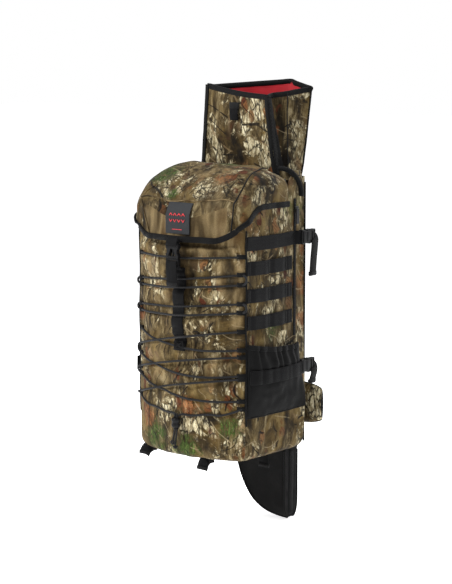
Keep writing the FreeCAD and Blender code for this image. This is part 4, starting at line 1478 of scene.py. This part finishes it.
def rear_zip():
    """Zip tape with its teeth, from the rear shoulder down the side."""
    top = (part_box("rear_zip_tape")[1][2] - ORIGIN.z) * 1000
    path = [(max(side_x(ZIP_Y, z) + 0.9, 125.2), ZIP_Y, z) for z in range(214, int(top) + 8, 12)]
    ribbon("zip_tape_cloth", path, 7.5, 1.0, (1, 0, 0), "binding", replaces=("rear_zip_tape",))
    teeth = []
    tooth = [(-2.2, -0.2), (2.2, -0.2), (2.2, 0.2), (-2.2, 0.2)]
    for i in range(64):
        z = 416 + i * 0.66
        place = Matrix.Translation((max(side_x(ZIP_Y, z) + 1.3, 125.6), ZIP_Y, z)) @ SIDE_FACE[1]
        teeth.append(bevelled("tooth", tooth, 0.4, place, "plastic", "root", bevel=0.05))
    join("zip_teeth", teeth)
    # the thick piping beside the zip's upper end
    arc = [(103, -42, 521), (112, -42, 521), (121, -36, 517), (126.5, -26, 508), (129, -18, 496),
           (130, -12, 482), (129.5, -11, 470)]
    cord("shoulder_piping", arc, 4.6, "binding")


def rear_shoulders():
    """Cloth over the rifle compartment, rising to the sleeve's foot."""
    verts = []
    rows, columns = 16, 60
    for r in range(rows):
        q = r / (rows - 1)
        for c in range(columns):
            t = c / (columns - 1)
            a = pi * (1 - t)
            ox, oy = 122 * cos(a), 3 - 52 * abs(sin(a)) ** 0.45
            ix, iy = 17 + 97 * cos(a), 4 - 46 * abs(sin(a)) ** 0.35
            x = ox + (ix - ox) * q
            y = oy + (iy - oy) * q
            z = 499 + 16 * smooth_step(q * 1.2) + 2.5 * crumple(x, y, 0, 22, 81)
            verts.append((x, y, z))
    sheet("rear_yoke_cloth", verts, grid_faces(rows, columns), "lid", 1.8, replaces=("rear_yoke",))


def butt_hinge():
    """The band of cloth that joins the pouch's rear edge to the foot of the back panel."""
    verts = []
    rows = spline([(0, 9.8, 21), (0, 9.8, 14), (0, 10.8, 7), (0, 14.5, 2.5), (0, 18.5, 0.4), (0, 20.7, -1.8),
                   (0, 21.0, -7)], 3)
    for _, y, z in rows:
        for i in range(24):
            x = -12 + 112 * i / 23
            verts.append((x, y + 0.4 * crumple(x, 0, z, 14, 93), z))
    strip = sheet("butt_hinge_cloth", verts, grid_faces(len(rows), 24), "nylon", 1.0, body=None)
    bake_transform(strip)


bottom_tails()
butt_hinge()
rear_zip()
rear_shoulders()


# ---- padding and harness ------------------------------------------------
SWELL_FRAMES = 20
PAD_VOXEL = 4.5  # even cloth faces of this size swell well


def puff(piece, cap):
    """Swells a pad with Blender's cloth, holding every point within cap millimetres."""
    rest_before = [vert.co.copy() for vert in piece.data.vertices]
    cloth = piece.modifiers.new("cloth", "CLOTH")
    settings = {"quality": 5, "mass": 0.2, "tension_stiffness": 20, "compression_stiffness": 20,
                "bending_stiffness": 2, "use_pressure": True, "uniform_pressure_force": 4}
    for key, value in settings.items():
        setattr(cloth.settings, key, value)
    cloth.settings.effector_weights.gravity = 0
    cloth.collision_settings.use_collision = False
    cloth.point_cache.frame_start = 1
    cloth.point_cache.frame_end = SWELL_FRAMES
    scene = bpy.context.scene
    for moment in range(1, SWELL_FRAMES + 1):
        scene.frame_set(moment)
    swollen = piece.evaluated_get(bpy.context.evaluated_depsgraph_get())
    moved = [vert.co.copy() for vert in swollen.data.vertices]
    piece.modifiers.remove(cloth)
    for vert, old, new in zip(piece.data.vertices, rest_before, moved):
        step = new - old
        if step.length > cap / 1000:
            step = step.normalized() * cap / 1000
        vert.co = old + step
    scene.frame_set(1)


def remesh(piece):
    """Even, closed cloth faces, as the swelling needs."""
    change = piece.modifiers.new("remesh", "REMESH")
    change.mode = "VOXEL"
    change.voxel_size = PAD_VOXEL / 1000
    change.use_smooth_shade = True
    shaped = piece.evaluated_get(bpy.context.evaluated_depsgraph_get())
    mesh = bpy.data.meshes.new_from_object(shaped)
    piece.modifiers.remove(change)
    mesh.materials.clear()
    for material in piece.data.materials:
        mesh.materials.append(material)
    piece.data = mesh


def pad(name, stations, body, material, replaces, cap, ends=0.5):
    """A stuffed pad through stations of (centre, half width vector, half thickness vector)."""
    around = 40
    path = []
    steps = 8
    for i in range(len(stations) - 1):
        for k in range(steps):
            t = k / steps
            path.append([Vector(a).lerp(Vector(b), t) for a, b in zip(stations[i], stations[i + 1])])
    path.append([Vector(v) for v in stations[-1]])
    verts = []
    count = len(path)
    for i, (centre, wide, thick) in enumerate(path):
        close = min(i, count - 1 - i) / (count - 1)
        crown = min(1.0, (close / 0.16)) ** ends
        narrow = 0.82 + 0.18 * min(1.0, close / 0.10) ** 0.5
        for c in range(around):
            a = 2 * pi * c / around
            u = copysign(abs(cos(a)) ** 0.5, cos(a))
            v = copysign(abs(sin(a)) ** 0.9, sin(a))
            verts.append(centre + wide * (u * narrow) + thick * (v * (0.22 + 0.78 * crown)))
    piece = make(name, verts, tube_faces(count, around), material, body, replaces)
    fix_normals(piece)
    remesh(piece)
    puff(piece, cap)
    smooth = piece.modifiers.new("smooth", "SUBSURF")
    smooth.levels = 1
    smooth.render_levels = 1


def piping(name, edge, body="root"):
    """Binding sewn round a pad's edge: (centre, half width vector) pairs along it."""
    points = [Vector(c) + Vector(w) for c, w in edge]
    points += [Vector(c) - Vector(w) for c, w in edge[::-1]]
    cord(name, points, 1.5, "binding", body, closed=True)


def back_pads():
    """Four ventilated back pads and the lumbar cushion, each with its piping."""
    for side, sign in reversed(SIDES):
        for level, low, high in (("low", 132, 278), ("high", 302, 448)):
            nodes = ("back_pads",) if (side, level) == ("left", "low") else ()
            stations = [((sign * 52, 17, z), (28.5, 0, 0), (0, 6.0, 0))
                        for z in (low, (2 * low + high) / 3, (low + 2 * high) / 3, high)]
            pad("back_pad_" + side + "_" + level, stations, "root", "spacer", nodes, 1.6)
            edge = [((sign * 52, 12.4, z), (w, 0, 0)) for z, w in ((low + 3, 22), (low + 10, 28.5),
                ((low + high) / 2, 29), (high - 10, 28.5), (high - 3, 22))]
            piping("back_pad_edge_" + side + "_" + level, edge)
    stations = [((x, 22, 70), (0, 0, 46 - 6 * (abs(x) > 60)), (0, 11.5, 0)) for x in (-68, -40, 0, 40, 68)]
    pad("lumbar_cushion", stations, "root", "spacer", ("lumbar_pad",), 2.2)
    edge = [((x, 14, 70), (0, 0, w)) for x, w in ((-66, 30), (-58, 43), (0, 46), (58, 43), (66, 30))]
    piping("lumbar_edge", edge)


STRAP_X = 57    # the shoulder straps' distance from the middle
LIFTER_X = 62
# (y, height) along a shoulder strap, from its anchor to its lower end
STRAP_LINE = [(24.5, 459), (34, 459), (46, 447), (56.5, 414), (60.5, 374), (60.5, 330), (58, 285), (55, 246),
              (50, 222), (45, 203)]


def harness_side(side, sign):
    """One padded shoulder strap with its webbing, lifter and rail."""
    stations = []
    for i, (y, z) in enumerate(STRAP_LINE):
        before = STRAP_LINE[max(i - 1, 0)]
        after = STRAP_LINE[min(i + 1, len(STRAP_LINE) - 1)]
        along = Vector((0, after[0] - before[0], after[1] - before[1])).normalized()
        normal = Vector((0, -along.z, along.y))
        stations.append(((sign * STRAP_X, y, z), (26 - 3 * (i > 7), 0, 0), normal * 5.0))
    pad("shoulder_pad_" + side, stations, "root", "nylon", ("shoulder_strap_" + side,), 1.4, 0.35)
    edge = [(c, Vector(w) * 0.98) for c, w, _ in stations]
    piping("shoulder_edge_" + side, edge)
    run = []
    for (centre, _, normal) in stations[1:]:
        run.append(Vector(centre) - normal * 1.36)
    run[-1] = Vector((sign * STRAP_X, 47.5, 201))
    line = run + [Vector((sign * STRAP_X, 44, 188)), Vector((sign * STRAP_X, 28, 158)),
        Vector((sign * STRAP_X, 11.5, 124))]

    def look(t):
        return (0, 1, -0.15 if t > 0.5 else 0.25)

    ribbon("shoulder_webbing_" + side, line, 20, 1.8, look, "web",
           replaces=("shoulder_webbing",) * (sign > 0))
    adjuster("strap_adjuster_" + side, (sign * STRAP_X, 41.5, 186), (0, 0.42, 0.9))
    lift = [(sign * LIFTER_X, 10.5, 463), (sign * LIFTER_X, 26, 467.5), (sign * LIFTER_X, 38, 470),
        (sign * LIFTER_X, 48, 466.5)]
    ribbon("load_lifter_" + side, lift, 20, 1.7, (0, 0.1, 1), "web",
           replaces=("load_lifters",) * (sign > 0))
    adjuster("lifter_adjuster_" + side, (sign * LIFTER_X, 31, 469.5), (0, 1, 0.15), 0.75)
    rail = [(sign * STRAP_X, 67.6, z) for z in (280, 296, 330, 364, 380)]
    cord("strap_rail_" + side, rail, 1.1, "cord")


def adjuster(name, centre, along, scale=1.0):
    """A ladder buckle: a frame with two bars that the webbing runs over."""
    along = Vector(along).normalized()
    across = Vector((1, 0, 0))
    face = across.cross(along).normalized()
    place = Matrix(((across.x, along.x, face.x, centre[0]), (across.y, along.y, face.y, centre[1]),
                    (across.z, along.z, face.z, centre[2]), (0, 0, 0, 1)))
    place = place @ Matrix.Scale(scale, 4)
    bar = [(-11, 3.9), (11, 3.9), (11, 7.1), (-11, 7.1)]
    holes = [[(-11, -9.0), (11, -9.0), (11, -5.4), (-11, -5.4)],
             [(-11, -1.9), (11, -1.9), (11, 3.4), (-11, 3.4)]]
    bevelled(name, rounded(30, 24, 3.5), 3.6, place @ Matrix.Translation((0, 0, -1.8)), "plastic", "root",
             holes=holes)
    bevelled(name + "_bar", bar, 4.6, place @ Matrix.Translation((0, -1.5, -2.3)), "plastic", "root")


def sternum():
    """The chest strap between the shoulder straps, with its closed buckle."""
    path = [(-71, 69.2, 331), (-40, 70.0, 330.6), (-22, 70.4, 331), (22, 70.4, 331), (40, 70.0, 330.6),
            (71, 69.2, 331)]
    ribbon("sternum_webbing", path, 19.5, 1.7, (0, 1, 0), "web", "sternum_strap",
           replaces=("sternum_strap",))
    for side, sign in reversed(SIDES):
        end = [(sign * 71, 69.6, 331), (sign * 62, 70.6, 331)]
        ribbon("sternum_end_" + side, end, 20.5, 3.4, (0, 1, 0), "thread",
               "sternum_strap", smooth_path=False)
    place = Matrix(((0, 1, 0, -2), (0, 0, 1, 68.4), (1, 0, 0, 331), (0, 0, 0, 1))) @ Matrix.Scale(0.82, 4)
    buckle_housing("sternum_buckle_housing", place, "sternum_strap", (), 13.0)
    buckle_insert("sternum_buckle_plug", place, "sternum_strap", (), 12.0)


def hip_wings():
    """The two padded wings of the hip belt, with their outer cloth and webbing."""
    for side, sign in SIDES:
        body = "hip_wing_" + side
        levels = ((79, 33, 33, 4.6), (92, 31.5, 36, 5.6), (110, 29.6, 37, 6.4), (130, 29, 35, 6.6),
                  (146, 28.6, 31, 6.0), (153, 27.4, 26, 4.6))
        stations = [((sign * x, y, 79), (0, 0, high), (0, deep, 0)) for x, y, high, deep in levels]
        pad("hip_pad_" + side, stations, body, "spacer", (body,), 1.6, 0.35)
        shell = []
        rows, columns = 14, 20
        for r in range(rows):
            for c in range(columns):
                t = 2 * c / (columns - 1) - 1
                index = r / (rows - 1) * (len(stations) - 1)
                low = int(min(index, len(stations) - 2))
                centre, wide, deep = [Vector(a).lerp(Vector(b), index - low)
                                      for a, b in zip(stations[low], stations[low + 1])]
                swell = sqrt(max(0.0, 1 - abs(t) ** 3.2))
                shell.append(centre + wide * t * 1.02 - deep * (0.12 + 1.0 * swell)
                             + Vector((0, -0.6 * crumple(centre.x, 0, t * 40, 14, 91), 0)))
        sheet("hip_shell_" + side, shell, grid_faces(rows, columns), "side", 1.2, body=body)
        edge = [(c, Vector(w) * 1.02) for c, w, _ in stations]
        piping("hip_edge_" + side, edge, body)
        strap = [(sign * x, y, 87.5) for x, y in ((88, 38.4), (104, 38.8), (122, 38.6), (140, 37.8))]
        ribbon("hip_webbing_" + side, strap, 24.5, 1.8, (0, 1, 0), "web", body,
               replaces=("hip_strap_" + side,))
        ends = [stitches("stitch", (sign * x, 39.8, 87.5), (1.0, 20), FACING_FRONT, 0, body)
                for x in (93, 97, 131, 135)]
        join("hip_stitch_" + side, ends)


def haul_loop():
    """The carrying loop behind the sleeve, whose top bears on a hook."""
    arch = [(-22, 32, 491), (-22, 32, 508), (-21, 32, 524), (-14, 32, 539), (0, 32, 545.5), (14, 32, 539),
            (21, 32, 524), (22, 32, 508), (22, 32, 491)]

    def look(t):
        a = pi * (1 - t)
        return (cos(a), 0, max(sin(a), 0.0) * 1.4 + 0.001)

    ribbon("haul_loop_webbing", arch, 22, 4.4, look, "web", replaces=("haul_loop",))
    grip = [(-13, 32, 541.2), (-7, 32, 545.2), (0, 32, 546.6), (7, 32, 545.2), (13, 32, 541.2)]
    ribbon("haul_loop_grip", grip, 23.5, 6.6, lambda t: (0.9 * (2 * t - 1), 0, 1), "nylon")
    foot = [(0, 9.6, 495), (0, 20, 495.4), (0, 32, 495.2), (0, 43.4, 495)]
    ribbon("haul_loop_foot", foot, 55, 8.4, (0, 0, 1), "web")
    lines = ((0, 14, 46, 1.2), (0, 41, 46, 1.2), (-23, 27.5, 1.2, 27), (23, 27.5, 1.2, 27))
    rows = [stitches("stitch", (x, y, 499.6), (w, h), Matrix.Identity(4), 0) for x, y, w, h in lines]
    join("haul_loop_stitch", rows)


back_pads()
for strap_side, strap_sign in reversed(SIDES):
    harness_side(strap_side, strap_sign)
sternum()
hip_wings()
haul_loop()


# ---- camera, light and floor --------------------------------------------
YAW = radians(38)
PITCH = radians(8)
DISTANCE = 3.5
LENS = 116.0
FLOOR_GAP = 0.004  # keeps the floor just under the lowest cloth


def aim(thing, target):
    """Turns a camera or a light towards a point."""
    away = thing.location - target
    thing.rotation_euler = away.to_track_quat("Z", "Y").to_euler()


def stage():
    """The camera of the photo, soft studio light, a pale floor and backdrop."""
    scene = bpy.context.scene
    target = at(-4.5, -63, 287)
    way = Vector((sin(YAW) * cos(PITCH), -cos(YAW) * cos(PITCH), sin(PITCH)))
    camera = bpy.data.objects.new("camera", bpy.data.cameras.new("camera"))
    camera.data.lens = LENS
    camera.location = target + way * DISTANCE
    aim(camera, target)
    bpy.context.collection.objects.link(camera)
    scene.camera = camera
    lights = (("key", (-1.1, -2.2, 2.0), 0.8, 122), ("fill", (2.4, -1.0, 0.9), 1.5, 12),
              ("top", (0.5, 0.2, 2.2), 1.0, 36), ("rim", (1.0, 1.9, 1.2), 1.4, 30))
    for name, place, size, power in lights:
        light = bpy.data.objects.new(name, bpy.data.lights.new(name, "AREA"))
        light.data.size = size
        light.data.energy = power
        light.location = target + Vector(place)
        aim(light, target)
        bpy.context.collection.objects.link(light)
    world = bpy.data.worlds.new("studio")
    world.use_nodes = True
    nodes = world.node_tree.nodes
    links = world.node_tree.links
    toward = nodes.new("ShaderNodeVectorMath")
    toward.operation = "DOT_PRODUCT"
    toward.inputs[1].default_value = (-way.x, -way.y, 0)
    links.new(nodes.new("ShaderNodeTexCoord").outputs["Generated"], toward.inputs[0])
    screen = nodes.new("ShaderNodeValToRGB")
    dim, bright = screen.color_ramp.elements
    dim.position, dim.color = 0.62, (0.28, 0.28, 0.29, 1)
    bright.position, bright.color = 0.90, (1, 1, 1, 1)
    links.new(toward.outputs["Value"], screen.inputs["Fac"])
    links.new(screen.outputs["Color"], nodes["Background"].inputs["Color"])
    scene.world = world
    low = CAD_BOX[0][2] - FLOOR_GAP
    mesh = bpy.data.meshes.new("floor")
    size = 14.0
    corners = [(x * size, y * size, low) for x, y in ((-1, -1), (1, -1), (1, 1), (-1, 1))]
    mesh.from_pydata(corners, [], [(0, 1, 2, 3)])
    floor = bpy.data.objects.new("floor", mesh)
    n = Nodes("pale_floor", 0.9, Emission_Strength=0.75)
    n.shader.inputs["Emission Color"].default_value = (1, 1, 1, 1)
    n.colour(n.mix(n.noise(3), (0.93, 0.93, 0.93), (0.95, 0.95, 0.95)))
    mesh.materials.append(n.material)
    bpy.context.collection.objects.link(floor)
    scene.view_settings.view_transform = "Standard"


def cad_materials():
    """Materials for the CAD nodes that stay visible."""
    kept = {"frame_stays": "stays", "frame_sheet": "sheet", "zip_slider": "metal", "zip_pull": "metal"}
    for node, key in kept.items():
        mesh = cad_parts[node].data
        mesh.materials.clear()
        mesh.materials.append(M[key])


cad_materials()
stage()
